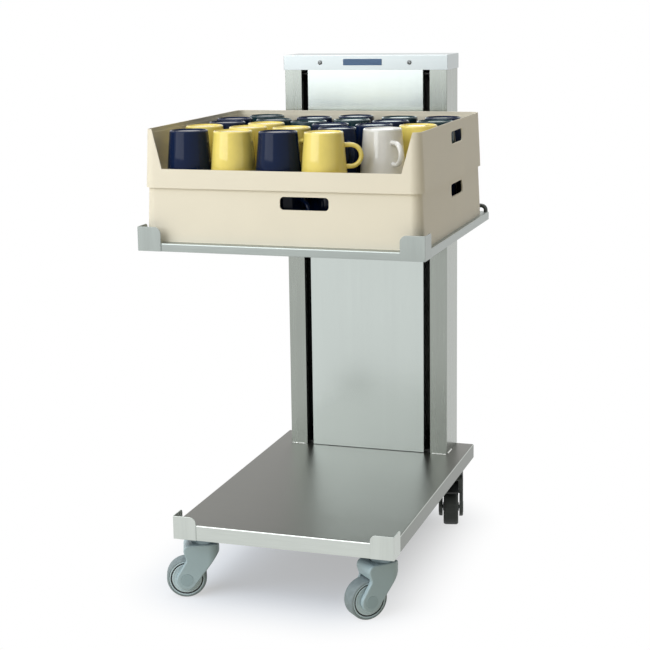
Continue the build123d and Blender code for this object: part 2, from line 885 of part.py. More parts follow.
# Channels under the platform, across its width
channel_half_length = platform_width / 2 - platform_return - channel_end_gap
with BuildPart() as platform_cross_channels:
    for middle_y in channel_places:
        with BuildSketch(Plane.YZ.offset(-channel_half_length)):
            with Locations((middle_y, arm_top)):
                Rectangle(
                    channel_width,
                    platform_height - sheet - arm_top,
                    align=(Align.CENTER, Align.MIN),
                )
            with Locations((middle_y, arm_top + channel_sheet)):
                Rectangle(
                    channel_width - 2 * channel_sheet,
                    platform_edge,
                    align=(Align.CENTER, Align.MIN),
                    mode=Mode.SUBTRACT,
                )
        extrude(amount=2 * channel_half_length)
    arm_bolt_x = arm_outer - arm_flange / 2
    arm_bolt_spots = [(side * arm_bolt_x, y) for side in (-1, 1) for y in channel_places]
    hole_depth = channel_sheet + 2 * overcut
    rods_at(arm_bolt_spots, arm_top - overcut, m8_radius + screw_gap, hole_depth, Mode.SUBTRACT)
save(platform_cross_channels.part, "platform_cross_channels")

# Bolts from the arms into the channels
with BuildPart() as platform_arm_bolts:
    flange_low = arm_top - arm_flange_thick
    nut_low = arm_top + channel_sheet
    hexagon_at(arm_bolt_spots, flange_low - m8_head, m8_head_radius, m8_head)
    rods_at(arm_bolt_spots, flange_low, m8_radius, nut_low + m8_nut - flange_low)
    hexagon_at(arm_bolt_spots, nut_low, m8_head_radius, m8_nut)
save(platform_arm_bolts.part, "platform_arm_bolts")

# Cantilever arms
upper_axle = platform_height + roller_upper
lower_axle = platform_height - roller_lower
arm_back = mast_mid + roller_radius
rail_room = rail_wall + axle_ring_thick + 2 * body_gap + roller_side_room
roller_inner = post_inner - rail_room - roller_width
roller_outer = roller_inner + roller_width
axle_end = roller_outer + body_gap + axle_ring_thick
axle_steps = (
    (arm_inner - axle_head_thick, arm_inner, axle_head_radius),
    (arm_inner - axle_head_thick, axle_end, roller_axle_radius),
    (arm_outer, roller_inner - body_gap, axle_collar_radius),
    (roller_outer + body_gap, axle_end, axle_ring_radius),
)


def platform_arm(side):
    """Arm: a tapered bracket under the platform, an upright in the mast and two stub axles."""
    with BuildPart() as arm:
        with BuildSketch(Plane.YZ.offset(side * arm_mid - arm_thick / 2)):
            with BuildLine():
                Polyline(
                    (arm_front, arm_top),
                    (carriage_front, arm_top),
                    (carriage_front, arm_head),
                    (arm_back, arm_head),
                    (arm_back, arm_foot),
                    (carriage_front, arm_foot),
                    (mast_front, arm_top - arm_root_height),
                    (arm_front, arm_top - arm_front_height),
                    close=True,
                )
            make_face()
            fillet(vertices().group_by(Axis.Y)[-1], arm_round)
            fillet(vertices().group_by(Axis.Y)[0], arm_tip_round)
        extrude(amount=arm_thick)
        with BuildSketch(Plane.XY.offset(arm_top - arm_flange_thick)):
            with Locations((side * (arm_outer - arm_flange / 2), arm_front)):
                Rectangle(
                    arm_flange, platform_back - arm_front, align=(Align.CENTER, Align.MIN)
                )
            with Locations(*arm_bolt_spots):
                Circle(m8_radius + screw_gap, mode=Mode.SUBTRACT)
        extrude(amount=arm_flange_thick)
        for start, end, radius in axle_steps:
            with BuildSketch(Plane.YZ.offset(side * start)):
                with Locations((mast_mid, upper_axle), (mast_mid, lower_axle)):
                    Circle(radius)
            extrude(amount=side * (end - start))
    return arm


for side, word in ((-1, "left"), (1, "right")):
    save(platform_arm(side).part, f"platform_arm_{word}")

# Carriage plate between the arms, with a bottom flange for the springs
carriage_back = hook_y + hook_edge
with BuildPart() as carriage_plate:
    with BuildSketch(Plane.YZ.offset(-arm_inner)):
        with Locations((carriage_front, carriage_low)):
            Rectangle(carriage_thick, carriage_high - carriage_low, align=(Align.MIN, Align.MIN))
            Rectangle(carriage_back - carriage_front, carriage_thick, align=(Align.MIN, Align.MIN))
        with Locations((carriage_front, carriage_high - carriage_thick)):
            Rectangle(carriage_top_flange, carriage_thick, align=(Align.MIN, Align.MIN))
    extrude(amount=2 * arm_inner)
    hook_spots = [(x, hook_y) for x in spring_places]
    hole_depth = carriage_thick + 2 * overcut
    rods_at(hook_spots, carriage_low - overcut, hook_hole, hole_depth, Mode.SUBTRACT)
save(carriage_plate.part, "carriage_plate")

# Guide rollers
def guide_roller(side, level):
    """Nylon roller on its stub axle, with a shallow recess on each side."""
    with BuildPart() as roller:
        with BuildSketch(Plane.YZ.offset(side * roller_inner)):
            with Locations((mast_mid, level)):
                Circle(roller_radius)
                Circle(roller_axle_radius + shaft_gap, mode=Mode.SUBTRACT)
        extrude(amount=side * roller_width)
        for face, depth in ((roller_inner, roller_recess), (roller_outer, -roller_recess)):
            with BuildSketch(Plane.YZ.offset(side * face)):
                with Locations((mast_mid, level)):
                    Circle(roller_radius - roller_rim)
                    Circle(roller_axle_radius + roller_hub, mode=Mode.SUBTRACT)
            extrude(amount=side * depth, mode=Mode.SUBTRACT)
    return roller


for side, word in ((-1, "left"), (1, "right")):
    save(guide_roller(side, upper_axle).part, f"guide_roller_upper_{word}")
    save(guide_roller(side, lower_axle).part, f"guide_roller_lower_{word}")

# Extension springs: the tube that each coil fills, with a bar and a hook at each end
upper_hook = anchor_height - hook_drop + anchor_thick / 2
lower_hook = carriage_low + carriage_thick / 2 + hook_drop
wire = spring_wire / 2
coil_ends = (lower_hook + hook_radius - spring_bar, upper_hook - hook_radius + spring_bar)
with BuildPart() as extension_springs:
    with BuildSketch(Plane.XY.offset(coil_ends[0])):
        with Locations(*[(x, spring_y) for x in spring_places]):
            Circle(spring_radius)
            Circle(spring_radius - spring_wire, mode=Mode.SUBTRACT)
    extrude(amount=coil_ends[1] - coil_ends[0])
    for x in spring_places:
        for level, bar in ((lower_hook, lower_hook + hook_radius), (upper_hook, upper_hook - hook_radius)):
            with Locations(Location((x, spring_y, level), (0, 90, 0))):
                Torus(hook_radius, wire)
            with Locations(Location((x, spring_y, bar), (0, 90, 0))):
                Cylinder(spring_bar_radius, 2 * (spring_radius - wire))
save(extension_springs.part, "extension_springs")

# One dish basket about its own middle, standing on z = 0, with its low side to the front
basket_taper = degrees(atan(basket_draft / basket_height))


def basket_size(level, inset):
    """Width, depth and corner radius of the basket at a height, drawn in by an inset."""
    narrow = basket_draft * level / basket_height + inset
    return basket_width - 2 * narrow, basket_depth - 2 * narrow, basket_corner - narrow


wall_cut = basket_draft + basket_wall + 2 * overcut
with BuildPart() as basket_walls:
    with BuildSketch():
        RectangleRounded(*basket_size(0, 0))
    extrude(amount=basket_height, taper=basket_taper)
    with BuildSketch():
        RectangleRounded(*basket_size(0, basket_wall))
    extrude(amount=basket_height, taper=basket_taper, mode=Mode.SUBTRACT)
    ledge_level = basket_height - ledge_height
    with BuildSketch(Plane.XY.offset(ledge_level)):
        RectangleRounded(*basket_size(ledge_level, basket_wall - ledge_depth))
    extrude(amount=ledge_height, taper=basket_taper, mode=Mode.SUBTRACT)
    fillet(basket_walls.faces().sort_by(Axis.Z)[-1].edges(), basket_rim_round)
    with BuildSketch(Plane.XZ.offset(basket_depth / 2 + overcut)):
        with BuildLine():
            Polyline(
                (-low_front_half, low_front_height),
                (-low_front_top_half, basket_height + overcut),
                (low_front_top_half, basket_height + overcut),
                (low_front_half, low_front_height),
                close=True,
            )
        make_face()
    extrude(amount=-wall_cut, mode=Mode.SUBTRACT)
    with BuildSketch(Plane.XZ.offset(-basket_depth / 2 - overcut)):
        with Locations((-handle_shift_x, handle_level)):
            RectangleRounded(handle_width, handle_height, handle_round)
    extrude(amount=wall_cut, mode=Mode.SUBTRACT)
    for side in (-1, 1):
        with BuildSketch(Plane.YZ.offset(side * (basket_width / 2 + overcut))):
            with Locations((side * handle_shift_y, handle_level)):
                RectangleRounded(handle_width, handle_height, handle_round)
        extrude(amount=-side * wall_cut, mode=Mode.SUBTRACT)

# The lattice floor of the basket
floor_top = stack_overlap + basket_floor
with BuildPart() as basket_lattice:
    with BuildSketch(Plane.XY.offset(stack_overlap)):
        RectangleRounded(*basket_size(stack_overlap, basket_wall + lattice_gap))
    extrude(amount=basket_floor, taper=basket_taper)
    pitch_x = (basket_width - 2 * lattice_border) / lattice_columns
    pitch_y = (basket_depth - 2 * lattice_border) / lattice_rows
    with BuildSketch(Plane.XY.offset(stack_overlap)):
        with GridLocations(pitch_x, pitch_y, lattice_columns, lattice_rows):
            RectangleRounded(pitch_x - lattice_bar, pitch_y - lattice_bar, lattice_round)
    extrude(amount=basket_floor, mode=Mode.SUBTRACT)

lower_basket_z = platform_height
upper_basket_z = platform_height + step_pitch
basket_places = {
    "lower_basket": Location((basket_side_shift, basket_y, lower_basket_z), (0, 0, 180)),
    "upper_basket": Location((basket_side_shift, basket_y, upper_basket_z)),
}
for name, place in basket_places.items():
    save(basket_walls.part.moved(place), name)
    save(basket_lattice.part.moved(place), f"{name}_floor")


# One mug about its own axis, standing on its rim, with its handle towards +X
def mug_radius(level):
    """Outer radius of the mug at a height above its rim."""
    return mug_rim_radius + (mug_foot_radius - mug_rim_radius) * level / mug_height


inside_top = mug_height - mug_floor
with BuildPart() as mug:
    with BuildSketch(Plane.XZ):
        with BuildLine():
            Polyline(
                (mug_rim_radius - mug_rim_edge, 0),
                (mug_radius(mug_rim_edge), mug_rim_edge),
                (mug_radius(mug_height - mug_foot_edge), mug_height - mug_foot_edge),
                (mug_foot_radius - mug_foot_edge, mug_height),
                (mug_foot_radius - mug_foot_ring, mug_height),
                (mug_foot_radius - mug_foot_ring - mug_foot_draft, mug_height - mug_foot_recess),
                (0, mug_height - mug_foot_recess),
                (0, inside_top - mug_foot_recess),
                (mug_radius(inside_top) - mug_wall, inside_top - mug_foot_recess),
                (mug_rim_radius - mug_wall, mug_rim_edge),
                (mug_rim_radius - mug_wall + mug_rim_edge, 0),
                close=True,
            )
        make_face()
    revolve(axis=Axis.Z)
    with BuildLine(Plane.XZ) as grip_line:
        grip_middle = (grip_top + grip_bottom) / 2
        grip_bow = (grip_top - grip_bottom) / 2
        grip_start = mug_radius(grip_top) - grip_bite
        Line((grip_start, grip_top), (grip_reach, grip_top))
        ThreePointArc(
            (grip_reach, grip_top),
            (grip_reach + grip_bow, grip_middle),
            (grip_reach, grip_bottom),
        )
        Line((grip_reach, grip_bottom), (mug_radius(grip_bottom) - grip_bite, grip_bottom))
    with BuildSketch(Plane(origin=(grip_start, 0, grip_top), x_dir=(0, 1, 0), z_dir=(1, 0, 0))):
        Ellipse(grip_width / 2, grip_thick / 2)
    sweep(path=grip_line.line)


def mug_spots(colours, level, turned):
    """Where the mugs of some colours stand in a basket, which may be turned half round."""
    sign = -1 if turned else 1
    return [
        Location((sign * x, basket_y + sign * y, level), (0, 0, handle + (180 if turned else 0)))
        for x, y, handle, colour in mug_places
        if colour in colours
    ]


upper_mug_z = upper_basket_z + floor_top
lower_mug_z = lower_basket_z + floor_top
mug_nodes = {
    "mugs_navy": mug_spots(("navy",), upper_mug_z, False),
    "mugs_yellow": mug_spots(("yellow",), upper_mug_z, False),
    "mugs_teal": mug_spots(("teal",), upper_mug_z, False),
    "mug_white": mug_spots(("white",), upper_mug_z, False),
    "lower_mugs": mug_spots(("navy", "yellow", "teal", "white"), lower_mug_z, True),
}
for name, spots in mug_nodes.items():
    with BuildPart() as mugs:
        with Locations(*spots):
            add(mug.part)
    save(mugs.part, name)

travel_up = anchor_height - upper_buffer - body_gap - arm_head
travel_down = arm_foot - foot_top - lower_buffer - body_gap
print("platform travel up", round(travel_up, 2), "and down", round(travel_down, 2))
print("springs at rest, hook to hook", round(upper_hook - lower_hook, 2))
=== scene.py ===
"""Looks of a dish basket dispenser cart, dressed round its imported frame.

Metres, unless a docstring gives another unit. +X is the cart's right, +Y its back, +Z up.
"""

from __future__ import annotations

import json
import logging
import math
from collections.abc import Sequence
from dataclasses import dataclass, field
from enum import Enum
from functools import cached_property
from typing import Any

import bmesh
import bpy
from mathutils import Matrix, Vector
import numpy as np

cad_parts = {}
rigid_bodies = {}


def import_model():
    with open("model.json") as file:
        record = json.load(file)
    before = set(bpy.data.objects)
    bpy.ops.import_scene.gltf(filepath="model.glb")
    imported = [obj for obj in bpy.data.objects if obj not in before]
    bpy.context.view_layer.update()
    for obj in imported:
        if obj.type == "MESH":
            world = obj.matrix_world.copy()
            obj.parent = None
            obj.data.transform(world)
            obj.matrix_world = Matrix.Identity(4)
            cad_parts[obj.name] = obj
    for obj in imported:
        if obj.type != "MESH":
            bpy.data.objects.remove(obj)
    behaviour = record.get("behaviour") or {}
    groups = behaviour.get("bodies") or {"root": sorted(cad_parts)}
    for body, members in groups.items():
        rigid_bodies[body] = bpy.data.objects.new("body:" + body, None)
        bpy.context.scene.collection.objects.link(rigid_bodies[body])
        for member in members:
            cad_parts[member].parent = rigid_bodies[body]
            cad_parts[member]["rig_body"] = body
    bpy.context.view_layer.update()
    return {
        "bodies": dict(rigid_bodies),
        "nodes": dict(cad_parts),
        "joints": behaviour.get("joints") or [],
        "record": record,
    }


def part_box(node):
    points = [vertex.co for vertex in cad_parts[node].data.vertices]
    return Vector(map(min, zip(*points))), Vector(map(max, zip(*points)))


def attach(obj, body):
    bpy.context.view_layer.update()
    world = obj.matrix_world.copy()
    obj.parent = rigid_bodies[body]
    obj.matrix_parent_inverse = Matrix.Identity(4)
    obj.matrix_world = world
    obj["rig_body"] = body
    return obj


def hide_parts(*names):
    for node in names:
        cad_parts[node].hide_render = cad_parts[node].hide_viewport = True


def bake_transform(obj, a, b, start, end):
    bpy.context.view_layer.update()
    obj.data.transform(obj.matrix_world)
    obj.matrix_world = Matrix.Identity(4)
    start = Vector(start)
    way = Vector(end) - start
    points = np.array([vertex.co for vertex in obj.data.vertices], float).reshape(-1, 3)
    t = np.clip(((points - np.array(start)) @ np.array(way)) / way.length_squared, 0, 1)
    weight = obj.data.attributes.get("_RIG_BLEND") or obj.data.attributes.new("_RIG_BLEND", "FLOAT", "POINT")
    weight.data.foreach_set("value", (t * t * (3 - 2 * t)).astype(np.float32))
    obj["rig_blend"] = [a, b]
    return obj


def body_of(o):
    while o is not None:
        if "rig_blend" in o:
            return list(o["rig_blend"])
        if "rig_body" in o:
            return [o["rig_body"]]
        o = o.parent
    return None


log = logging.getLogger("cart")

Colour = tuple[float, float, float]
Triple = tuple[float, float, float]
Outline = list[tuple[float, float]]
Shape = bmesh.types.BMesh
Edge = bmesh.types.BMEdge

FULL_TURN = 2 * math.pi
MERGE_DISTANCE = 1e-6
ORIGIN: Triple = (0.0, 0.0, 0.0)
UP: Triple = (0.0, 0.0, 1.0)
EVEN: Triple = (1.0, 1.0, 1.0)
WHITE: Colour = (1.0, 1.0, 1.0)


class GrainAxis(Enum):
    """The direction that a brushed finish runs in, as factors on its noise along each axis."""

    X = (0.02, 1.0, 1.0)
    Z = (1.0, 1.0, 0.02)
    ROUND = EVEN


class Wire:
    """A shader value that takes part in Python expressions."""

    def __init__(self, board: Board, socket: bpy.types.NodeSocket) -> None:
        """Wrap an output socket of a board."""
        self.board = board
        self.socket = socket

    def _with(self, operation: str, other: Value) -> Wire:
        """Add a Math node on this and another value."""
        return self.board.node("ShaderNodeMath", {"operation": operation}, {0: self, 1: other})

    def __add__(self, other: Value) -> Wire:
        """Sum of this and another value."""
        return self._with("ADD", other)

    def __mul__(self, other: Value) -> Wire:
        """Product of this and another value."""
        return self._with("MULTIPLY", other)

    def highest(self, other: Value) -> Wire:
        """The greater of this and another value."""
        return self._with("MAXIMUM", other)

    def ramp(self, low: float = 0.3, high: float = 0.7) -> Wire:
        """Rise smoothly from 0 at low to 1 at high, which by default span most of a noise."""
        inputs = {"Value": self, "From Min": low, "From Max": high}
        return self.board.node("ShaderNodeMapRange", {"interpolation_type": "SMOOTHSTEP"}, inputs)


Value = Wire | float


class Board:
    """The nodes of one material or world."""

    def __init__(self, owner: bpy.types.Material | bpy.types.World) -> None:
        """Take up the nodes.

        Args:
            owner: The new material or world.
        """
        owner.use_nodes = True
        self.owner = owner
        self.tree = owner.node_tree

    @cached_property
    def place(self) -> Wire:
        """The piece's own coordinates."""
        return self.node("ShaderNodeTexCoord", output="Object")

    def node(
        self,
        kind: str,
        settings: dict[str, Any] | None = None,
        inputs: dict[Any, Any] | None = None,
        output: str | int = 0,
    ) -> Wire:
        """Add a node.

        Args:
            kind: The node's type.
            settings: Its properties, set first.
            inputs: Values or wires for its sockets.
            output: Which of its outputs to return.

        Returns:
            The output, wrapped.
        """
        made = self.tree.nodes.new(kind)
        for key, value in (settings or {}).items():
            setattr(made, key, value)
        for key, value in (inputs or {}).items():
            self.feed(made.inputs[key], value)
        return Wire(self, made.outputs[output])

    def feed(self, socket: bpy.types.NodeSocket, value: Any) -> None:
        """Link a wire to a socket, or set the socket's own value.

        Args:
            socket: The socket.
            value: A wire, a number, a vector or a colour.
        """
        if isinstance(value, Wire):
            self.tree.links.new(value.socket, socket)
        elif socket.type == "RGBA":
            socket.default_value = (*value, 1.0)
        else:
            socket.default_value = value

    def vector(self, operation: str, first: Any, second: Any = ORIGIN, output: str = "Vector") -> Wire:
        """Add a Vector Math node on one or two vectors or wires."""
        return self.node("ShaderNodeVectorMath", {"operation": operation}, {0: first, 1: second}, output)

    def noise(self, scale: float, detail: float, stretch: Triple = EVEN) -> Wire:
        """Noise of 0 to 1, its scale per metre, drawn out along the axes where stretch is under 1."""
        inputs = {"Vector": self.vector("MULTIPLY", self.place, stretch), "Scale": scale, "Detail": detail}
        return self.node("ShaderNodeTexNoise", inputs=inputs)

    def facing(self, letter: str) -> Wire:
        """One component of the surface's direction, by its letter."""
        normal = self.node("ShaderNodeNewGeometry", output="Normal")
        return self.node("ShaderNodeSeparateXYZ", inputs={0: normal}, output=letter)

    def seen(self) -> Wire:
        """1 for rays from the camera, from gloss and through glass, else 0."""
        camera, gloss, glass = (
            self.node("ShaderNodeLightPath", output=name)
            for name in ("Is Camera Ray", "Is Glossy Ray", "Is Transmission Ray")
        )
        return camera.highest(gloss).highest(glass)

    def mix(self, factor: Value, first: Any, second: Any) -> Wire:
        """Blend two colours or wires: a factor of 0 gives the first, 1 the second."""
        settings = {"data_type": "RGBA", "clamp_factor": True}
        return self.node("ShaderNodeMix", settings, {0: factor, 6: first, 7: second}, 2)

    def mottled(self, pattern: Wire, colour: Colour, darkest: float, lightest: float) -> Wire:
        """A colour that goes between two factors of itself as a pattern goes from 0 to 1."""
        return self.mix(pattern, shade(colour, darkest), shade(colour, lightest))

    @staticmethod
    def around(middle: float, *swings: tuple[Wire, float]) -> Wire:
        """A value that swings about its middle.

        Args:
            middle: The value where every pattern is one half.
            *swings: Each pattern, 0 to 1, with how much the value changes over it.

        Returns:
            The swinging value.
        """
        total: Value = middle - sum(swing for _, swing in swings) / 2
        for pattern, swing in swings:
            total = pattern * swing + total
        return total

    def bump(self, height: Wire, depth: float, strength: float = 1.0) -> Wire:
        """Turn heights of 0 to 1, which stand for 0 to a depth, into a surface direction."""
        return self.node("ShaderNodeBump", inputs={"Height": height, "Distance": depth, "Strength": strength})

    def done(self, **sockets: Any) -> bpy.types.Material:
        """Fill the shader's sockets.

        Args:
            **sockets: Values or wires, with spaces in a socket's name as underscores.

        Returns:
            The finished material.
        """
        shader = self.tree.nodes["Principled BSDF"]
        for key, value in sockets.items():
            self.feed(shader.inputs[key.replace("_", " ")], value)
        return self.owner


def material_board(name: str) -> Board:
    """The nodes of a new material."""
    return Board(bpy.data.materials.new(name))


def shade(colour: Colour, factor: float) -> Colour:
    """A colour made lighter or darker by a factor."""
    return tuple(min(1.0, part * factor) for part in colour)


@dataclass(frozen=True)
class BrushedSteel:
    """Satin stainless sheet, brushed in one direction.

    Faces that look up or sideways may carry painted light: a colour of their own on top is a painted
    reflection, one on the sides is painted shade.
    """

    colour: Colour
    roughness: float = 0.34
    grain: GrainAxis = GrainAxis.X
    grain_scale: float = 900.0
    depth: float = 0.00001
    painted_top_reflection: Colour | None = None
    painted_side_shade: Colour | None = None
    spread: float = 0.06
    broad_ratio: float = 14.0
    cloud_scale: float = 6.0
    painted_shade_edges: tuple[float, float] = (0.56, 0.96)
    painted_shade_spread: float = 1.6
    roughness_spread: float = 3.6

    def material(self, name: str) -> bpy.types.Material:
        """Build the material under a name."""
        board = material_board(name)
        fine = board.noise(self.grain_scale, 2.0, self.grain.value)
        broad = board.noise(self.grain_scale / self.broad_ratio, 3.0, self.grain.value)
        clouds = board.noise(self.cloud_scale, 2.0)
        tone = fine * 0.35 + broad * 0.35 + clouds * 0.3
        streaks = tone.ramp()
        colour = board.mottled(streaks, self.colour, 1 - self.spread, 1 + self.spread)
        wider = self.painted_shade_spread * self.spread
        # Painted light: sideways faces take a darker colour as painted shade, upward faces a darker colour as
        # a painted reflection.
        for other, letter in ((self.painted_side_shade, "X"), (self.painted_top_reflection, "Z")):
            if other is not None:
                facing = board.facing(letter)
                painted_shade_mask = (facing * facing).ramp(*self.painted_shade_edges)
                colour = board.mix(painted_shade_mask, colour, board.mottled(streaks, other, 1 - wider, 1 + wider))
        return board.done(
            Base_Color=colour,
            Metallic=1.0,
            Roughness=board.around(self.roughness, (tone, self.roughness_spread * self.spread)),
            Normal=board.bump(fine * 0.6 + broad * 0.4, self.depth),
        )


@dataclass(frozen=True)
class MouldedPlastic:
    """Injection-moulded plastic with a fine grain."""

    colour: Colour
    roughness: float = 0.42
    grain_scale: float = 2600.0
    depth: float = 0.00002
    mottle: float = 0.04
    cloud_scale: float = 9.0
    grain_swing: float = 0.10
    cloud_swing: float = 0.06
    grain_strength: float = 0.6

    def material(self, name: str) -> bpy.types.Material:
        """Build the material under a name."""
        board = material_board(name)
        grain = board.noise(self.grain_scale, 2.0)
        clouds = board.noise(self.cloud_scale, 3.0)
        return board.done(
            Base_Color=board.mottled(clouds.ramp(), self.colour, 1 - self.mottle, 1 + self.mottle),
            Roughness=board.around(self.roughness, (grain, self.grain_swing), (clouds, self.cloud_swing)),
            Normal=board.bump(grain, self.depth, self.grain_strength),
        )


@dataclass(frozen=True)
class Glaze:
    """Glossy glaze over ceramic, with the faint waves of a dipped coat."""

    colour: Colour
    sheen: float = 0.6
    roughness: float = 0.125
    roughness_swing: float = 0.03
    wave_scale: float = 55.0
    speck_scale: float = 700.0
    depth: float = 0.00001
    sheen_to_specular: float = 0.7

    def material(self, name: str) -> bpy.types.Material:
        """Build the material under a name."""
        board = material_board(name)
        waves = board.noise(self.wave_scale, 2.0)
        specks = board.noise(self.speck_scale, 1.0)
        return board.done(
            Base_Color=board.mottled(waves.ramp(), self.colour, 0.98, 1.02),
            Roughness=board.around(self.roughness, (waves, self.roughness_swing)),
            Specular_IOR_Level=self.sheen * self.sheen_to_specular,
            Coat_Weight=self.sheen,
            Coat_Roughness=0.04,
            Normal=board.bump(waves * 0.9 + specks * 0.1, self.depth),
        )


@dataclass(frozen=True)
class Enamel:
    """Smooth paint or coating on metal."""

    colour: Colour
    roughness: float = 0.35
    peel_scale: float = 420.0
    roughness_swing: float = 0.08
    depth: float = 0.00002

    def material(self, name: str) -> bpy.types.Material:
        """Build the material under a name."""
        board = material_board(name)
        peel = board.noise(self.peel_scale, 2.0)
        return board.done(
            Base_Color=board.mottled(peel.ramp(), self.colour, 0.95, 1.05),
            Roughness=board.around(self.roughness, (peel, self.roughness_swing)),
            Coat_Weight=0.3,
            Normal=board.bump(peel, self.depth),
        )


@dataclass(frozen=True)
class Rubber:
    """Matt rubber with faint scuffs."""

    colour: Colour
    roughness: float = 0.62
    roughness_swing: float = 0.12
    grain_scale: float = 1800.0
    scuff_scale: float = 120.0
    scuff_edges: tuple[float, float] = (0.35, 0.75)
    depth: float = 0.00004

    def material(self, name: str) -> bpy.types.Material:
        """Build the material under a name."""
        board = material_board(name)
        grain = board.noise(self.grain_scale, 2.0)
        scuffs = board.noise(self.scuff_scale, 4.0)
        return board.done(
            Base_Color=board.mottled(scuffs.ramp(*self.scuff_edges), self.colour, 0.92, 1.12),
            Roughness=board.around(self.roughness, (scuffs, self.roughness_swing)),
            Normal=board.bump(grain * 0.5 + scuffs * 0.5, self.depth),
        )


Finish = BrushedSteel | MouldedPlastic | Glaze | Enamel | Rubber


def pair(stem: str) -> tuple[str, ...]:
    """A stem's names on the left and the right."""
    return tuple(f"{stem}_{side}" for side in ("left", "right"))


REAR_CORNERS = pair("rear")
CORNERS = (*pair("front"), *REAR_CORNERS)

SKIRT_STEEL: Colour = (0.55, 0.585, 0.55)
PLATFORM_STEEL: Colour = (0.33, 0.36, 0.34)
SMALL_GRAIN = 1500.0
FINISHES: dict[str, Finish] = {
    # The base's top colour is a painted dark reflection and its side colour is painted shade.
    "base_sheet": BrushedSteel(
        SKIRT_STEEL, 0.36, painted_top_reflection=(0.168, 0.168, 0.152), painted_side_shade=(0.21, 0.225, 0.205)
    ),
    "platform_sheet": BrushedSteel(PLATFORM_STEEL, 0.36),
    "base_guard_sheet": BrushedSteel(SKIRT_STEEL, 0.38, GrainAxis.Z),
    "platform_guard_sheet": BrushedSteel(PLATFORM_STEEL, 0.38, GrainAxis.Z),
    "post_sheet": BrushedSteel((0.33, 0.355, 0.325), 0.26, GrainAxis.Z),
    "back_sheet": BrushedSteel((0.40, 0.42, 0.40), 0.36, GrainAxis.Z),
    "cover_sheet": BrushedSteel((0.56, 0.61, 0.585), 0.22, GrainAxis.Z, depth=0.000002, spread=0.02),
    "cap_sheet": BrushedSteel((0.42, 0.455, 0.455), 0.30, spread=0.03),
    "mill_steel": BrushedSteel((0.25, 0.26, 0.26), 0.45),
    "weld_metal": BrushedSteel((0.74, 0.75, 0.72), 0.3, GrainAxis.ROUND, SMALL_GRAIN, 0.00006),
    "screw_steel": BrushedSteel((0.20, 0.21, 0.21), 0.22, GrainAxis.ROUND, SMALL_GRAIN),
    "seat_steel": BrushedSteel((0.17, 0.215, 0.225), 0.36, GrainAxis.ROUND, SMALL_GRAIN),
    "zinc": BrushedSteel((0.46, 0.50, 0.49), 0.3, GrainAxis.ROUND, SMALL_GRAIN),
    "spring_wire": BrushedSteel((0.25, 0.25, 0.26), 0.4, GrainAxis.ROUND, SMALL_GRAIN),
    # Painted shade: the parts inside the mast are near black so that the mast's slots look dark.
    "painted_shade_black": Enamel((0.012, 0.013, 0.012), 0.5),
    # Painted shade: the rear stop rod is stainless, coloured dark for the shade it lies in.
    "painted_shade_rod": Enamel((0.06, 0.07, 0.065)),
    "blue_plate": Enamel((0.045, 0.12, 0.25)),
    "nylon": MouldedPlastic((0.75, 0.74, 0.70), 0.4),
    "fork_plastic": MouldedPlastic((0.40, 0.52, 0.56)),
    # Partly painted shade: the rear forks and axles are dark plastic, made darker still for the shade beneath
    # the deck.
    "dark_and_shaded_fork_plastic": MouldedPlastic((0.062, 0.076, 0.07), 0.4),
    "axle_plastic": MouldedPlastic((0.335, 0.45, 0.485), 0.36),
    "hub_plastic": MouldedPlastic((0.58, 0.71, 0.755), 0.4),
    # Painted shade: a near-black band stands for the shade in the wheel's groove.
    "painted_groove_shade": MouldedPlastic((0.008, 0.01, 0.01), 0.6),
    "pedal_plastic": MouldedPlastic((0.02, 0.024, 0.024), 0.45),
    "basket_plastic": MouldedPlastic((0.81, 0.755, 0.615), 0.45, 1900.0, mottle=0.015),
    "buffer_rubber": Rubber((0.03, 0.03, 0.03)),
    "tyre_rubber": Rubber((0.24, 0.295, 0.31)),
    # Partly painted shade: the rear tyres are dark rubber, made darker still for the shade beneath the deck.
    "dark_and_shaded_tyre_rubber": Rubber((0.048, 0.058, 0.055)),
    "navy_glaze": Glaze((0.004, 0.013, 0.05), sheen=0.13),
    "yellow_glaze": Glaze((0.88, 0.72, 0.17), sheen=0.45),
    "teal_glaze": Glaze((0.012, 0.042, 0.052), sheen=0.2),
    "white_glaze": Glaze((0.74, 0.735, 0.70)),
}

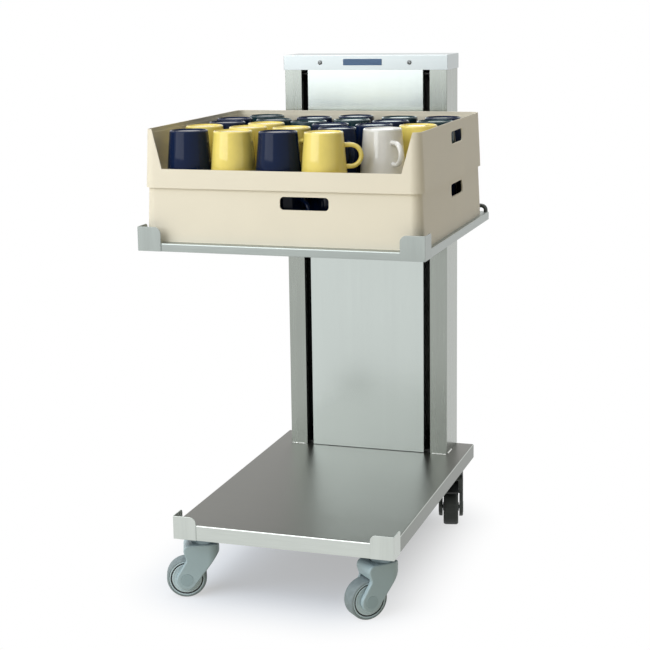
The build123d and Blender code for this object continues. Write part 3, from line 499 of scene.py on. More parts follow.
NODE_FINISHES: dict[str, Sequence[str]] = {
    "base_sheet": ("base_tray",),
    "platform_sheet": ("platform_tray",),
    "base_guard_sheet": pair("base_guard"),
    "platform_guard_sheet": pair("platform_guard"),
    "post_sheet": pair("mast_post"),
    "back_sheet": ("mast_back_cover",),
    "cover_sheet": ("mast_front_cover",),
    "cap_sheet": ("mast_top_cap",),
    "mill_steel": (
        "caster_rail_front",
        "caster_rail_rear",
        "platform_cross_channels",
        *pair("platform_arm"),
        "carriage_plate",
    ),
    # Painted shade: inner mast parts in near-black so that the slots look dark.
    "painted_shade_black": ("mast_foot_plate", *pair("guide_rail"), "spring_anchor_bar"),
    "screw_steel": ("cover_screws",),
    "seat_steel": ("caster_stems",),
    "zinc": ("mast_foot_bolts", "platform_arm_bolts"),
    "spring_wire": ("extension_springs",),
    # Painted shade: the stainless rear stop rod is coloured dark.
    "painted_shade_rod": ("rear_stop_rail",),
    "blue_plate": ("name_plate",),
    "buffer_rubber": ("stop_buffers",),
    "nylon": (*pair("guide_roller_upper"), *pair("guide_roller_lower")),
    "fork_plastic": pair("caster_fork_front"),
    "axle_plastic": pair("caster_axle_front"),
    # Rear forks and axles: dark plastic, darkened further as painted shade.
    "dark_and_shaded_fork_plastic": (*pair("caster_fork_rear"), *pair("caster_axle_rear")),
    "hub_plastic": (*pair("caster_wheel_front"), *pair("caster_wheel_rear")),
    "tyre_rubber": (*pair("caster_tyre_front"), *pair("caster_tyre_rear")),
    "pedal_plastic": pair("brake_pedal_rear"),
    "basket_plastic": ("lower_basket", "upper_basket", "lower_basket_floor", "upper_basket_floor"),
    "navy_glaze": ("mugs_navy", "lower_mugs"),
    "yellow_glaze": ("mugs_yellow",),
    "teal_glaze": ("mugs_teal",),
    "white_glaze": ("mug_white",),
}

SHEET_EDGE = 0.0003
GUARD_EDGE = 0.0004
ARM_EDGE = 0.0006
BASKET_EDGE = 0.0007
EASED_NODES = (
    (SHEET_EDGE, ("base_tray", "platform_tray")),
    (GUARD_EDGE, (*pair("base_guard"), *pair("platform_guard"))),
    (SHEET_EDGE, (*pair("mast_post"), "mast_front_cover", "mast_back_cover", "mast_top_cap")),
    (ARM_EDGE, pair("platform_arm")),
    (SHEET_EDGE, ("platform_cross_channels",)),
    (GUARD_EDGE, ("carriage_plate",)),
    (BASKET_EDGE, ("lower_basket", "upper_basket")),
)


def arc(
    centre: tuple[float, float], radius: float, start: float, end: float, steps: int, squeeze: float = 1.0
) -> Outline:
    """Points along an arc between two angles in degrees, both ends included, squeezed in width."""
    angles = [math.radians(start + (end - start) * step / steps) for step in range(steps + 1)]
    return [(centre[0] + radius * squeeze * math.cos(a), centre[1] + radius * math.sin(a)) for a in angles]


def mirrored(half: Outline) -> Outline:
    """An outline followed by its own image on the other side of height 0."""
    return [*half, *[(radius, -height) for radius, height in reversed(half)]]


def spun(outline: Outline, steps: int, closed: bool = False) -> Shape:
    """Turn an outline about the Z axis.

    Args:
        outline: Points of (radius, height).
        steps: Faces round the turn.
        closed: Whether the outline joins its own start.

    Returns:
        The turned surface, its faces outwards.
    """
    shape = bmesh.new()
    points = [shape.verts.new((radius, 0.0, height)) for radius, height in outline]
    pairs = list(zip(points, points[1:]))
    if closed:
        pairs.append((points[-1], points[0]))
    edges = [shape.edges.new(ends) for ends in pairs]
    bmesh.ops.spin(
        shape, geom=points + edges, cent=ORIGIN, axis=UP, angle=FULL_TURN, steps=steps, use_merge=True
    )
    bmesh.ops.remove_doubles(shape, verts=shape.verts, dist=MERGE_DISTANCE)
    bmesh.ops.recalc_face_normals(shape, faces=shape.faces)
    return shape


def joined(shape: Shape, extra: Shape, place: Matrix) -> None:
    """Copy one bmesh into another.

    Args:
        shape: The one that grows.
        extra: The one that is copied.
        place: Where the copy goes.
    """
    mesh = bpy.data.meshes.new("passing")
    extra.to_mesh(mesh)
    mesh.transform(place)
    shape.from_mesh(mesh)
    bpy.data.meshes.remove(mesh)


def turned(place: Sequence[float], degrees: float) -> Matrix:
    """A place, turned about Z."""
    return Matrix.Translation(place) @ Matrix.Rotation(math.radians(degrees), 4, "Z")


def upright_to(axis: Sequence[float], place: Sequence[float]) -> Matrix:
    """Turn the Z axis to another direction and move to a place."""
    turn = Vector(axis).to_track_quat("Z", "Y").to_matrix().to_4x4()
    return Matrix.Translation(place) @ turn


def shown(name: str, data: bpy.types.ID) -> bpy.types.Object:
    """Put an object with some data into the scene."""
    made = bpy.data.objects.new(name, data)
    bpy.context.scene.collection.objects.link(made)
    return made


@dataclass
class Workshop:
    """The finishes in use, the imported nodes, and the making of pieces. Creases are in degrees."""

    frame: dict[str, Any]
    materials: dict[str, bpy.types.Material] = field(default_factory=dict)
    crease: float = 32.0
    round_crease: float = 60.0
    no_crease: float = 180.0
    eased_crease: float = 30.0
    eased_segments: int = 2
    flat_within: float = 0.5
    flat_weight: int = 100

    def finish(self, name: str) -> bpy.types.Material:
        """The material of a finish, built once.

        Args:
            name: The finish's name.

        Returns:
            Its material.
        """
        if name not in self.materials:
            self.materials[name] = FINISHES[name].material(name)
        return self.materials[name]

    def dress_nodes(self) -> None:
        """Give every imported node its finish."""
        for finish, nodes in NODE_FINISHES.items():
            for node in nodes:
                mesh = self.frame["nodes"][node].data
                mesh.materials.clear()
                mesh.materials.append(self.finish(finish))
                log.info("%s wears %s", node, finish)

    def piece(
        self,
        name: str,
        shape: Shape,
        finish: str,
        body: str | None,
        slot: str,
        replaces: Sequence[str] = (),
        crease: float = crease,
    ) -> bpy.types.Object:
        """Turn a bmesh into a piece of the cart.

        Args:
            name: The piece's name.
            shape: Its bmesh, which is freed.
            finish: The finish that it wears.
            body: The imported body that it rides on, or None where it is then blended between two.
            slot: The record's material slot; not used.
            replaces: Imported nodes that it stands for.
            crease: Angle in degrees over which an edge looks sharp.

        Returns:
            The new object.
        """
        mesh = bpy.data.meshes.new(name)
        shape.to_mesh(mesh)
        shape.free()
        for polygon in mesh.polygons:
            polygon.use_smooth = True
        mesh.set_sharp_from_angle(angle=math.radians(crease))
        mesh.materials.append(self.finish(finish))
        made = shown(name, mesh)
        if body is not None:
            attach(made, body)
        if replaces:
            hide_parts(*replaces)
        log.info("%s rides on %s, %d faces", name, body, len(mesh.polygons))
        return made

    def slot_of(self, node: str) -> str:
        """The material slot that the record gives a node."""
        parts = self.frame["record"]["subparts"]
        return next(part["material_slot"] for part in parts if part["node"] == node)

    def joint(self, name: str) -> dict[str, Any]:
        """A joint of the record, by its name."""
        return next(joint for joint in self.frame["joints"] if joint["name"] == name)

    def finish_of(self, node: str) -> str:
        """The finish that a node wears."""
        return next(finish for finish, nodes in NODE_FINISHES.items() if node in nodes)

    def eased(self, node: str, width: float) -> None:
        """Stand a copy of a node with softened edges in the node's place.

        Args:
            node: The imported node.
            width: How wide its sharp edges are rounded.
        """
        source = self.frame["nodes"][node]
        shape = bmesh.new()
        shape.from_mesh(source.data)
        bmesh.ops.remove_doubles(shape, verts=shape.verts, dist=MERGE_DISTANCE)
        bmesh.ops.dissolve_limit(
            shape,
            angle_limit=math.radians(self.flat_within),
            verts=shape.verts,
            edges=shape.edges,
            use_dissolve_boundaries=False,
        )
        body, slot = body_of(source)[0], self.slot_of(node)
        made = self.piece(f"{node}_eased", shape, self.finish_of(node), body, slot, [node], self.no_crease)
        bevel = made.modifiers.new("eased_edges", "BEVEL")
        bevel.width = width
        bevel.segments = self.eased_segments
        bevel.limit_method = "ANGLE"
        bevel.angle_limit = math.radians(self.eased_crease)
        bevel.use_clamp_overlap = True
        flatten = made.modifiers.new("flat_faces", "WEIGHTED_NORMAL")
        flatten.mode = "FACE_AREA"
        flatten.weight = self.flat_weight
        flatten.keep_sharp = True


@dataclass(frozen=True)
class Caster:
    """One caster's turned pieces: the wheel's disc with its groove, and the tyre."""

    workshop: Workshop
    corner: str
    steps: int = 96
    bore: float = 0.0042
    boss: float = 0.009
    boss_half: float = 0.0168
    disc: float = 0.0279
    disc_half: float = 0.0145
    disc_land: float = 0.003
    disc_slope: float = 0.001
    edge: float = 0.0006
    groove: float = 0.0306
    groove_floor: float = 0.0104
    groove_face: float = 0.0138
    groove_overlap: float = 0.001
    rim: float = 0.0330
    rim_half: float = 0.0152
    tyre_gap: float = 0.0001
    tyre_seat: float = 0.0144
    tyre_lip: float = 0.0336
    tyre_lip_half: float = 0.0150
    tyre_half: float = 0.0155
    tread: float = 0.0375
    tread_half: float = 0.0098
    shoulder_squeeze: float = 0.72

    def build(self) -> None:
        """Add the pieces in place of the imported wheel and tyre."""
        joint = self.workshop.joint(f"wheel_{self.corner}_spin")
        place = upright_to(joint["axis"], joint["pos_m"])
        # Rear tyres: dark rubber, darkened further as painted shade.
        rubber = "dark_and_shaded_tyre_rubber" if self.corner in REAR_CORNERS else "tyre_rubber"
        turned_pieces = (
            ("wheel_disc", self.disc_outline(), "hub_plastic", "hub_grey", [f"caster_wheel_{self.corner}"]),
            # Painted shade: a near-black band fills the groove's recess.
            ("wheel_groove_shade", self.groove_outline(), "painted_groove_shade", "pedal_black", []),
            ("wheel_tread", self.tyre_outline(), rubber, "tyre_grey", [f"caster_tyre_{self.corner}"]),
        )
        for word, outline, finish, slot, stands_for in turned_pieces:
            shape = spun(outline, self.steps, closed=True)
            bmesh.ops.transform(shape, matrix=place, verts=shape.verts)
            name, body = f"{word}_{self.corner}", f"wheel_{self.corner}"
            self.workshop.piece(name, shape, finish, body, slot, stands_for)

    def disc_outline(self) -> Outline:
        """Section of the moulded wheel: boss, dished disc, groove and rim."""
        edge = self.edge
        return mirrored(
            [
                (self.bore, self.boss_half),
                (self.boss - edge, self.boss_half),
                (self.boss, self.boss_half - edge),
                (self.boss + 2 * edge, self.disc_half - edge / 2),
                (self.disc - self.disc_land - self.disc_slope, self.disc_half - edge),
                (self.disc - self.disc_land, self.disc_half),
                *arc((self.disc - edge, self.disc_half - edge), edge, 90, 0, 3),
                (self.disc, self.groove_floor - edge),
                (self.groove, self.groove_floor - edge),
                *arc((self.groove + edge, self.rim_half - edge), edge, 180, 90, 3),
                (self.rim - edge, self.rim_half),
                (self.rim, self.rim_half - edge),
            ]
        )

    def groove_outline(self) -> Outline:
        """Section of the near-black band laid in the groove on both sides, painted shade for the groove's
        recess.
        """
        inner, outer = self.disc - self.groove_overlap, self.groove + self.groove_overlap
        return mirrored([(inner, self.groove_face), (outer, self.groove_face)])

    def tyre_outline(self) -> Outline:
        """Section of the tyre: a lip on the rim, a round shoulder and a flat tread."""
        shoulder = self.tyre_half - self.tread_half
        middle = (self.tread - shoulder * self.shoulder_squeeze, self.tread_half)
        return mirrored(
            [
                (self.rim + self.tyre_gap, self.tyre_seat),
                (self.tyre_lip, self.tyre_lip_half),
                *arc(middle, shoulder, 80, 0, 8, self.shoulder_squeeze),
            ]
        )


@dataclass(frozen=True)
class MastTrim:
    """Screws, blank plate and weld beads of the mast."""

    workshop: Workshop
    cap_screw_x: float = 0.095
    cap_screw_z: float = 0.970
    back_screw_x: float = 0.1565
    back_screw_low: float = 0.212
    back_screw_pitch: float = 0.23717
    back_screw_rows: int = 4
    screw_steps: int = 36
    head: float = 0.0047
    dome: float = 0.0026
    dome_shares: Sequence[tuple[float, float]] = ((0.68, 0.86), (0.9, 0.5), (1.0, 0.12), (1.0, 0.0))
    shank: float = 0.0019
    shank_length: float = 0.0046
    socket: float = 0.0019
    socket_depth: float = 0.0014
    socket_edge: float = 0.0001
    socket_floor_share: float = 0.8
    plate_corner: float = 0.0012
    plate_corner_steps: int = 4
    plate_edge: float = 0.00025
    plate_crown: float = 0.00012
    plate_rim: float = 0.0011
    plate_slope: float = 0.0003
    plate_dish: float = 0.00035
    bead: float = 0.0017
    bead_pitch: float = 0.0026
    bead_lift: float = 0.0002
    bead_form: Triple = (1.05, 0.95, 0.85)
    bead_waves: Sequence[Triple] = ((0.22, 2.3, 0.0), (0.12, 5.1, 1.0))
    bead_lean: float = 0.35
    bead_lean_rate: float = 3.7
    bead_front_ends: tuple[float, float] = (0.003, 0.005)
    bead_side_ends: tuple[float, float] = (0.012, 0.040)

    def build(self) -> None:
        """Add the screws, the plate and the beads."""
        self._screws()
        self._plate()
        for side, word in ((-1, "left"), (1, "right")):
            self._beads(side, word)

    def _screws(self) -> None:
        """Domed heads with a hexagonal socket, two on the cap and eight on the back cover."""
        pattern = self._screw()
        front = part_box("mast_top_cap")[0].y
        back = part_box("mast_back_cover")[1].y
        shape = bmesh.new()
        for side in (-1, 1):
            joined(shape, pattern, upright_to((0, -1, 0), (side * self.cap_screw_x, front, self.cap_screw_z)))
            for row in range(self.back_screw_rows):
                level = self.back_screw_low + row * self.back_screw_pitch
                joined(shape, pattern, upright_to((0, 1, 0), (side * self.back_screw_x, back, level)))
        pattern.free()
        self.workshop.piece(
            "socket_screws", shape, "screw_steel", "frame", "fastener_steel", ["cover_screws"]
        )

    def _screw(self) -> Shape:
        """One screw, its head upwards from height 0."""
        socket_floor = self.dome - self.socket_depth
        outline = [
            (0.0, socket_floor),
            (self.socket * self.socket_floor_share, socket_floor),
            (self.socket, self.dome - self.socket_edge),
            (self.socket + 2 * self.socket_edge, self.dome),
            *[(self.head * across, self.dome * up) for across, up in self.dome_shares],
            (self.shank, 0.0),
            (self.shank, -self.shank_length),
            (0.0, -self.shank_length),
        ]
        shape = spun(outline, self.screw_steps)
        flat = FULL_TURN / 6
        for point in shape.verts:
            reach = Vector(point.co.xy)
            in_socket = 0 < reach.length < self.socket + self.socket_edge
            if in_socket and point.co.z > socket_floor / 2:
                turn = math.atan2(reach.y, reach.x) % flat - flat / 2
                point.co.xy = reach * (math.cos(flat / 2) / math.cos(turn))
        return shape

    def _plate(self) -> None:
        """The blank plate, with a raised rim round its dished field."""
        low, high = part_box("name_plate")
        size = high - low
        shape = bmesh.new()
        bmesh.ops.create_cube(shape, size=1.0)
        bmesh.ops.scale(shape, verts=shape.verts, vec=size)
        bmesh.ops.translate(shape, verts=shape.verts, vec=(low + high) / 2)
        corners = [edge for edge in shape.edges if abs((edge.verts[0].co - edge.verts[1].co).y) > size.y / 2]
        bmesh.ops.bevel(
            shape,
            geom=corners,
            offset=self.plate_corner,
            affect="EDGES",
            segments=self.plate_corner_steps,
            profile=0.5,
            material=-1,
        )
        front = min(shape.faces, key=lambda face: face.calc_center_median().y)
        bmesh.ops.inset_individual(shape, faces=[front], thickness=self.plate_edge, depth=0.0)
        bmesh.ops.translate(shape, verts=front.verts, vec=(0.0, -self.plate_crown, 0.0))
        bmesh.ops.inset_individual(shape, faces=[front], thickness=self.plate_rim, depth=0.0)
        bmesh.ops.inset_individual(shape, faces=[front], thickness=self.plate_slope, depth=-self.plate_dish)
        self.workshop.piece("blank_plate", shape, "blue_plate", "frame", "plate_blue", ["name_plate"])

    def _beads(self, side: int, word: str) -> None:
        """Weld beads along the front and the outer side of a post's foot.

        Args:
            side: -1 on the left, 1 on the right.
            word: The side's name.
        """
        low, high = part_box(f"mast_post_{word}")
        outer, inner = (high.x, low.x) if side > 0 else (low.x, high.x)
        outer_end, inner_end = self.bead_front_ends
        near_end, far_end = self.bead_side_ends
        runs = (
            (Vector((outer - side * outer_end, low.y)), Vector((inner + side * inner_end, low.y))),
            (Vector((outer, low.y + near_end)), Vector((outer, low.y + far_end))),
        )
        shape = bmesh.new()
        for start, end in runs:
            count = int((end - start).length / self.bead_pitch)
            for step in range(count + 1):
                spot = Matrix.Translation((*start.lerp(end, step / count), low.z + self.bead_lift))
                waves = [size * math.sin(step * rate + turn * side) for size, rate, turn in self.bead_waves]
                swell = 1.0 + sum(waves)
                form = Matrix.Diagonal((*[swell * part for part in self.bead_form], 1.0))
                lean = Matrix.Rotation(self.bead_lean * math.sin(step * self.bead_lean_rate), 4, "Y")
                bmesh.ops.create_icosphere(shape, subdivisions=2, radius=self.bead, matrix=spot @ lean @ form)
        crease = self.workshop.round_crease
        self.workshop.piece(f"weld_beads_{word}", shape, "weld_metal", "frame", "post_steel", (), crease)


@dataclass(frozen=True)
class Springs:
    """Extension springs: coils that stretch as the platform moves, with a hook loop at each end."""

    workshop: Workshop
    places: tuple[float, ...] = (-0.095, -0.060, -0.025, 0.025, 0.060, 0.095)
    coil: float = 0.0078
    wire: float = 0.0012
    hook: float = 0.006
    pitch: float = 0.0066
    turn_steps: int = 12
    wire_sides: int = 6
    hook_steps: int = 28
    hook_sides: int = 8

    def build(self) -> None:
        """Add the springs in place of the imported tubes."""
        low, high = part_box("extension_springs")
        middle_y = high.y - self.coil - self.wire
        length = high.z - low.z
        coil_low, coil_high = 2 * self.hook, length - 2 * self.hook
        pattern = bmesh.new()
        self._coil(pattern, coil_low, coil_high)
        loop = self._loop()
        for level in (self.hook + self.wire, length - self.hook - self.wire):
            joined(pattern, loop, upright_to((1, 0, 0), (0.0, 0.0, level)))
        loop.free()
        shape = bmesh.new()
        for x in self.places:
            joined(shape, pattern, Matrix.Translation((x, middle_y, low.z)))
        pattern.free()
        crease = self.workshop.round_crease
        made = self.workshop.piece(
            "coil_springs", shape, "spring_wire", None, "spring_steel", ["extension_springs"], crease
        )
        coil_top = (0.0, middle_y, low.z + coil_high)
        coil_foot = (0.0, middle_y, low.z + coil_low)
        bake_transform(made, "frame", "platform", start=coil_top, end=coil_foot)

    def _coil(self, shape: Shape, low: float, high: float) -> None:
        """Wind the coil upwards.

        Args:
            shape: The mesh that it is added to.
            low: Height of its first end.
            high: Height of its last end.
        """
        place = Matrix.Translation((self.coil, 0.0, low)) @ Matrix.Rotation(math.radians(90), 4, "X")
        ring = bmesh.ops.create_circle(
            shape, cap_ends=True, segments=self.wire_sides, radius=self.wire, matrix=place
        )["verts"]
        turns = round((high - low) / self.pitch)
        steps = turns * self.turn_steps
        edges = list({edge for point in ring for edge in point.link_edges})
        bmesh.ops.spin(
            shape,
            geom=[*ring, *edges],
            cent=ORIGIN,
            axis=UP,
            dvec=(0.0, 0.0, (high - low) / steps),
            angle=turns * FULL_TURN,
            steps=steps,
        )
        bmesh.ops.recalc_face_normals(shape, faces=shape.faces)

    def _loop(self) -> Shape:
        """A closed hook loop round the Z axis."""
        section = arc((self.hook, 0.0), self.wire, 0, 360, self.hook_sides)[:-1]
        return spun(section, self.hook_steps, closed=True)


class MugColour(Enum):
    """The glazes of the mugs: finish, node, body and material slot."""

    NAVY = ("navy_glaze", "mugs_navy", "upper_load", "glaze_navy")
    YELLOW = ("yellow_glaze", "mugs_yellow", "upper_load", "glaze_yellow")
    TEAL = ("teal_glaze", "mugs_teal", "upper_load", "glaze_teal")
    WHITE = ("white_glaze", "mug_white", "white_mug", "glaze_white")


@dataclass(frozen=True)
class MugPlace:
    """Where a mug stands in its basket, in millimetres and degrees, and its colour."""

    x: float
    y: float
    handle: float
    colour: MugColour


NAVY, YELLOW, TEAL, PALE = MugColour
MUG_PLACES = tuple(
    MugPlace(*place)
    for place in (
        (-190, -191, 130, NAVY),
        (-105, -191, 140, YELLOW),
        (-19, -191, 140, NAVY),
        (66, -191, 17, YELLOW),
        (150, -109, -45, PALE),
        (-200, -91, 120, YELLOW),
        (-108, -106, 40, YELLOW),
        (-23, -106, -40, YELLOW),
        (64, -106, -50, NAVY),
        (-188, -6, -50, NAVY),
        (-103, -21, -20, YELLOW),
        (-37, 34, -80, TEAL),
        (25, -24, -150, NAVY),
        (110, -26, 40, NAVY),
        (195, -30, -70, YELLOW),
        (-206, 80, 110, NAVY),
        (-118, 64, 80, TEAL),
        (35, 81, -60, TEAL),
        (118, 60, 40, NAVY),
        (204, 62, -60, TEAL),
        (-166, 156, 140, TEAL),
        (-54, 120, 120, NAVY),
        (18, 166, 150, NAVY),
        (112, 146, 120, TEAL),
        (198, 148, 130, NAVY),
    )
)


@dataclass(frozen=True)
class Mug:
    """One mug, standing on its rim with its handle towards +X."""

    steps: int = 48
    height: float = 0.090
    rim: float = 0.042
    foot: float = 0.035
    foot_round: float = 0.0032
    wall: float = 0.004
    floor: float = 0.005
    inside_round: float = 0.006
    recess: float = 0.0025
    recess_slope: float = 0.003
    ring: float = 0.0035
    ring_round: float = 0.0008
    ring_step: float = 0.0006
    grip_top: float = 0.0665
    grip_bottom: float = 0.0285
    grip_reach: float = 0.0465
    grip_thick: float = 0.0085
    grip_width: float = 0.0100
    grip_bite: float = 0.0022
    grip_flare: float = 1.2
    grip_root: float = 0.35
    grip_sides: int = 16
    grip_steps: int = 14

    def radius(self, level: float) -> float:
        """Outer radius at a height."""
        return self.rim + (self.foot - self.rim) * level / self.height

    def outline(self) -> Outline:
        """Half of the mug's section, from the middle of its foot round to the inside of its floor."""
        lean = math.degrees(math.atan((self.rim - self.foot) / self.height))
        top, lip = self.height, self.wall / 2
        recess, ring = top - self.recess, self.foot - self.ring
        ceiling = recess - self.floor
        inside = self.radius(top - self.floor) - self.wall
        soft, small, inner = self.foot_round, self.ring_round, self.inside_round
        return [
            (0.0, recess),
            (ring - self.recess_slope, recess),
            (ring - self.ring_step, recess + self.ring_step),
            *arc((ring + small, top - small), small, 180, 90, 2),
            *arc((self.foot - soft, top - soft), soft, 90, -lean, 5),
            (self.radius(top / 2), top / 2),
            *arc((self.rim - lip, lip), lip, -lean, -180 - lean, 6),
            *arc((inside - inner, ceiling - inner), inner, 0, 90, 4),
            (0.0, ceiling),
        ]

    def handle(self) -> Shape:
        """The handle: out from the wall, half round, and back, its ends a little flared."""
        shape = bmesh.new()
        ring = bmesh.ops.create_circle(shape, cap_ends=False, segments=self.grip_sides, radius=0.5)["verts"]
        start = self.radius(self.grip_top) - self.grip_bite
        flare = self.grip_flare
        size = Matrix.Diagonal((self.grip_thick * flare, self.grip_width * flare, 1.0, 1.0))
        place = Matrix.Translation((start, 0.0, self.grip_top)) @ Matrix.Rotation(math.radians(90), 4, "Y")
        bmesh.ops.transform(shape, matrix=place @ size, verts=ring)
        length = self.grip_reach - start
        edges = self._arm(shape, shape.edges[:], length * self.grip_root, 1 / flare, self.grip_top)
        edges = self._arm(shape, edges, length * (1 - self.grip_root), 1.0, self.grip_top)
        bow = (self.grip_top - self.grip_bottom) / 2
        points = list({point for edge in edges for point in edge.verts})
        bend = bmesh.ops.spin(
            shape,
            geom=[*edges, *points],
            cent=(self.grip_reach, 0.0, self.grip_top - bow),
            axis=(0.0, 1.0, 0.0),
            angle=math.pi,
            steps=self.grip_steps,
        )
        edges = [item for item in bend["geom_last"] if isinstance(item, Edge)]
        length = self.grip_reach - self.radius(self.grip_bottom) + self.grip_bite
        edges = self._arm(shape, edges, -length * (1 - self.grip_root), 1.0, self.grip_bottom)
        self._arm(shape, edges, -length * self.grip_root, flare, self.grip_bottom)
        bmesh.ops.holes_fill(shape, edges=shape.edges, sides=0)
        bmesh.ops.recalc_face_normals(shape, faces=shape.faces)
        return shape

    @staticmethod
    def _arm(shape: Shape, edges: Sequence[Edge], length: float, grow: float, level: float) -> list[Edge]:
        """Draw a ring of edges out along X and scale it about the arm's middle line.

        Args:
            shape: The handle so far.
            edges: The ring that it ends in.
            length: How far the new ring is along X.
            grow: The new ring's scale.
            level: Height of the arm's middle line.

        Returns:
            The new ring.
        """
        made = bmesh.ops.extrude_edge_only(shape, edges=edges)["geom"]
        points = [item for item in made if isinstance(item, bmesh.types.BMVert)]
        bmesh.ops.translate(shape, verts=points, vec=(length, 0.0, 0.0))
        about = Matrix.Translation((0.0, 0.0, -level))
        bmesh.ops.scale(shape, verts=points, vec=(1.0, grow, grow), space=about)
        ring = set(points)
        return [item for item in made if isinstance(item, Edge) and ring.issuperset(item.verts)]

    def build(self) -> Shape:
        """The whole mug."""
        handle = self.handle()
        shape = spun(self.outline(), self.steps)
        joined(shape, handle, Matrix.Identity(4))
        handle.free()
        return shape


@dataclass(frozen=True)
class Basket:
    """A dish basket's place and the floor that its mugs stand on."""

    node: str
    turned_round: bool
    middle_y: float = -0.056
    floor_rise: float = 0.0105

    def spot(self, place: MugPlace) -> Matrix:
        """Where a mug stands in this basket."""
        half_turn, sign = (180, -1) if self.turned_round else (0, 1)
        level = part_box(self.node)[0].z + self.floor_rise
        x, y = sign * place.x / 1000, self.middle_y + sign * place.y / 1000
        return turned((x, y, level), place.handle + half_turn)


@dataclass(frozen=True)
class Load:
    """The two baskets' mugs."""

    workshop: Workshop
    mug: Mug = Mug()
    upper: Basket = Basket("upper_basket", False)
    lower: Basket = Basket("lower_basket", True)

    def build(self) -> None:
        """Add the mugs, one piece for each colour and one for the lower basket."""
        pattern = self.mug.build()
        pieces = [
            (self.upper, [place for place in MUG_PLACES if place.colour is colour], *colour.value)
            for colour in MugColour
        ]
        pieces.append((self.lower, MUG_PLACES, "navy_glaze", "lower_mugs", "lower_load", "glaze_navy"))
        for basket, places, finish, node, body, slot in pieces:
            shape = bmesh.new()
            for place in places:
                joined(shape, pattern, basket.spot(place))
            self.workshop.piece(f"{node}_glazed", shape, finish, body, slot, [node])
        pattern.free()


@dataclass(frozen=True)
class Viewpoint:
    """The photograph's camera. Distances in metres, angles in degrees, picture sizes in pixels."""

    position: Triple = (0.90333, -2.82156, 1.10546)
    yaw: float = 18.84
    pitch: float = -10.66
    roll: float = -0.964
    focal_pixels: float = 1544.0
    centre_x: float = 304.03
    centre_y: float = 286.53
    picture: float = 650.0
    sensor_mm: float = 36.0
    far: float = 100.0

    def build(self) -> None:
        """Add the camera and make it the scene's own."""
        yaw, pitch, roll = (math.radians(angle) for angle in (self.yaw, self.pitch, self.roll))
        forward = Vector((-math.sin(yaw) * math.cos(pitch), math.cos(yaw) * math.cos(pitch), math.sin(pitch)))
        level = Vector((math.cos(yaw), math.sin(yaw), 0.0))
        upright = level.cross(forward)
        right = level * math.cos(roll) + upright * math.sin(roll)
        up = upright * math.cos(roll) - level * math.sin(roll)
        lens = bpy.data.cameras.new("photo_camera")
        lens.sensor_width = self.sensor_mm
        lens.lens = self.focal_pixels / self.picture * self.sensor_mm
        lens.shift_x = (self.picture / 2 - self.centre_x) / self.picture
        lens.shift_y = (self.centre_y - self.picture / 2) / self.picture
        lens.clip_end = self.far
        camera = shown("photo_camera", lens)
        turn = Matrix((right, up, -forward)).transposed().to_4x4()
        camera.matrix_world = Matrix.Translation(self.position) @ turn
        bpy.context.scene.camera = camera


@dataclass(frozen=True)
class SoftBox:
    """A square soft light that looks at the cart, its power in watts."""

    name: str
    position: Triple
    size: float
    power: float
    colour: Colour = WHITE
    target: Triple = (0.0, 0.0, 0.5)

    def build(self) -> None:
        """Add the light."""
        lamp = bpy.data.lights.new(self.name, "AREA")
        lamp.size = self.size
        lamp.energy = self.power
        lamp.color = self.colour
        light = shown(self.name, lamp)
        light.location = self.position
        aim = Vector(self.target) - Vector(self.position)
        light.rotation_euler = aim.to_track_quat("-Z", "Y").to_euler()
        light.visible_camera = False


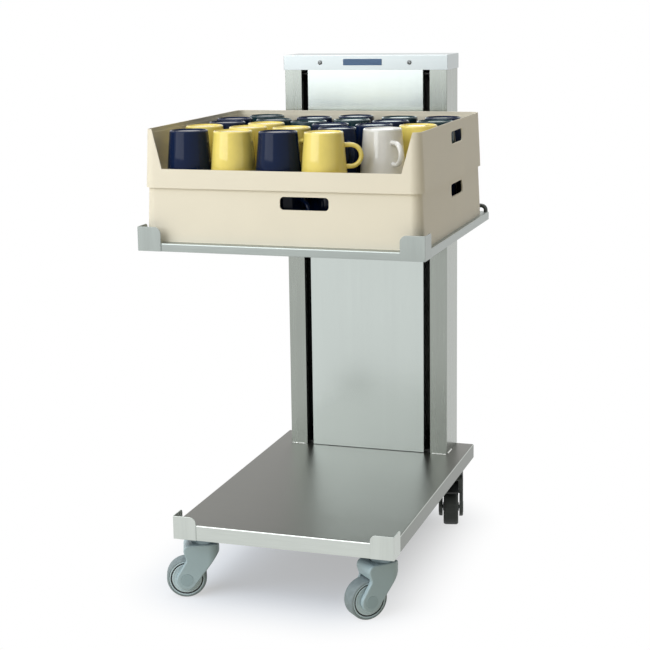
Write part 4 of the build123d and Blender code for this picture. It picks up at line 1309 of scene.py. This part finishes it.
@dataclass(frozen=True)
class Studio:
    """Pale floor, white surroundings and soft lights."""

    floor_size: float = 60.0
    floor_colour: Colour = (0.70, 0.79, 0.93)
    floor_roughness: float = 0.9
    floor_specular: float = 0.1
    paper_scale: float = 3.0
    paper_tone: float = 0.995
    bounce_colour: Colour = (0.80, 0.74, 0.60)
    shadow_centre: Triple = (-0.04, 0.01, 0.0)
    shadow_core: Triple = (0.10, 0.22, 0.0)
    shadow_fade: float = 0.24
    shadow_lift: float = 0.40
    world_light: float = 0.19
    world_tint: Colour = (1.0, 0.965, 0.85)
    boxes: tuple[SoftBox, ...] = (
        SoftBox("key", (-1.9, -2.9, 2.5), 3.8, 135.0, (0.94, 0.965, 1.0)),
        SoftBox("top", (-0.2, -0.1, 3.6), 2.8, 36.0),
        SoftBox("back", (-0.4, 2.3, 3.6), 1.8, 20.0),
    )

    def build(self) -> None:
        """Add the floor, the world and the lights."""
        self._floor()
        self._world()
        for box in self.boxes:
            box.build()
        bpy.context.scene.view_settings.view_transform = "Standard"

    def _floor(self) -> None:
        """A large matt plane that takes the cart's shadow and is white farther away."""
        shape = bmesh.new()
        bmesh.ops.create_grid(shape, x_segments=1, y_segments=1, size=self.floor_size / 2)
        mesh = bpy.data.meshes.new("studio_floor")
        shape.to_mesh(mesh)
        shape.free()
        mesh.materials.append(self._floor_material())
        shown("studio_floor", mesh)

    def _floor_material(self) -> bpy.types.Material:
        """Matt paper whose lit share fades out round the cart, with a warmer light off it than it shows."""
        board = material_board("studio_floor")
        seen = board.seen()
        paper = board.mottled(board.noise(self.paper_scale, 2.0), self.floor_colour, self.paper_tone, 1.0)
        colour = board.mix(seen, self.bounce_colour, paper)
        material = board.done(
            Base_Color=colour, Roughness=self.floor_roughness, Specular_IOR_Level=self.floor_specular
        )
        off_centre = board.vector("ABSOLUTE", board.vector("SUBTRACT", board.place, self.shadow_centre))
        past_core = board.vector("MAXIMUM", board.vector("SUBTRACT", off_centre, self.shadow_core), ORIGIN)
        reach = board.vector("LENGTH", past_core, output="Value")
        fade = reach.ramp(0.0, self.shadow_fade) * (1.0 - self.shadow_lift) + self.shadow_lift
        lit = Wire(board, board.tree.nodes["Principled BSDF"].outputs[0])
        white = board.node("ShaderNodeEmission", inputs={"Color": WHITE, "Strength": 1.0})
        mixed = board.node("ShaderNodeMixShader", inputs={0: fade * seen, 1: lit, 2: white})
        board.feed(board.tree.nodes["Material Output"].inputs["Surface"], mixed)
        return material

    def _world(self) -> None:
        """White where the camera and reflections see it, dimmer and warmer as a light."""
        world = bpy.data.worlds.new("studio_world")
        bpy.context.scene.world = world
        board = Board(world)
        seen = board.seen()
        background = board.tree.nodes["Background"]
        strength = seen * (1.0 - self.world_light) + self.world_light
        board.feed(background.inputs["Strength"], strength)
        board.feed(background.inputs["Color"], board.mix(seen, self.world_tint, WHITE))


def main() -> None:
    """Load the frame, dress it, and set up the studio."""
    logging.basicConfig(level=logging.INFO, format="%(message)s")
    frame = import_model()
    workshop = Workshop(frame)
    workshop.dress_nodes()
    for width, nodes in EASED_NODES:
        for node in nodes:
            workshop.eased(node, width)
    for corner in CORNERS:
        Caster(workshop, corner).build()
    MastTrim(workshop).build()
    Springs(workshop).build()
    Load(workshop).build()
    Studio().build()
    Viewpoint().build()


if __name__ == "__main__":
    main()
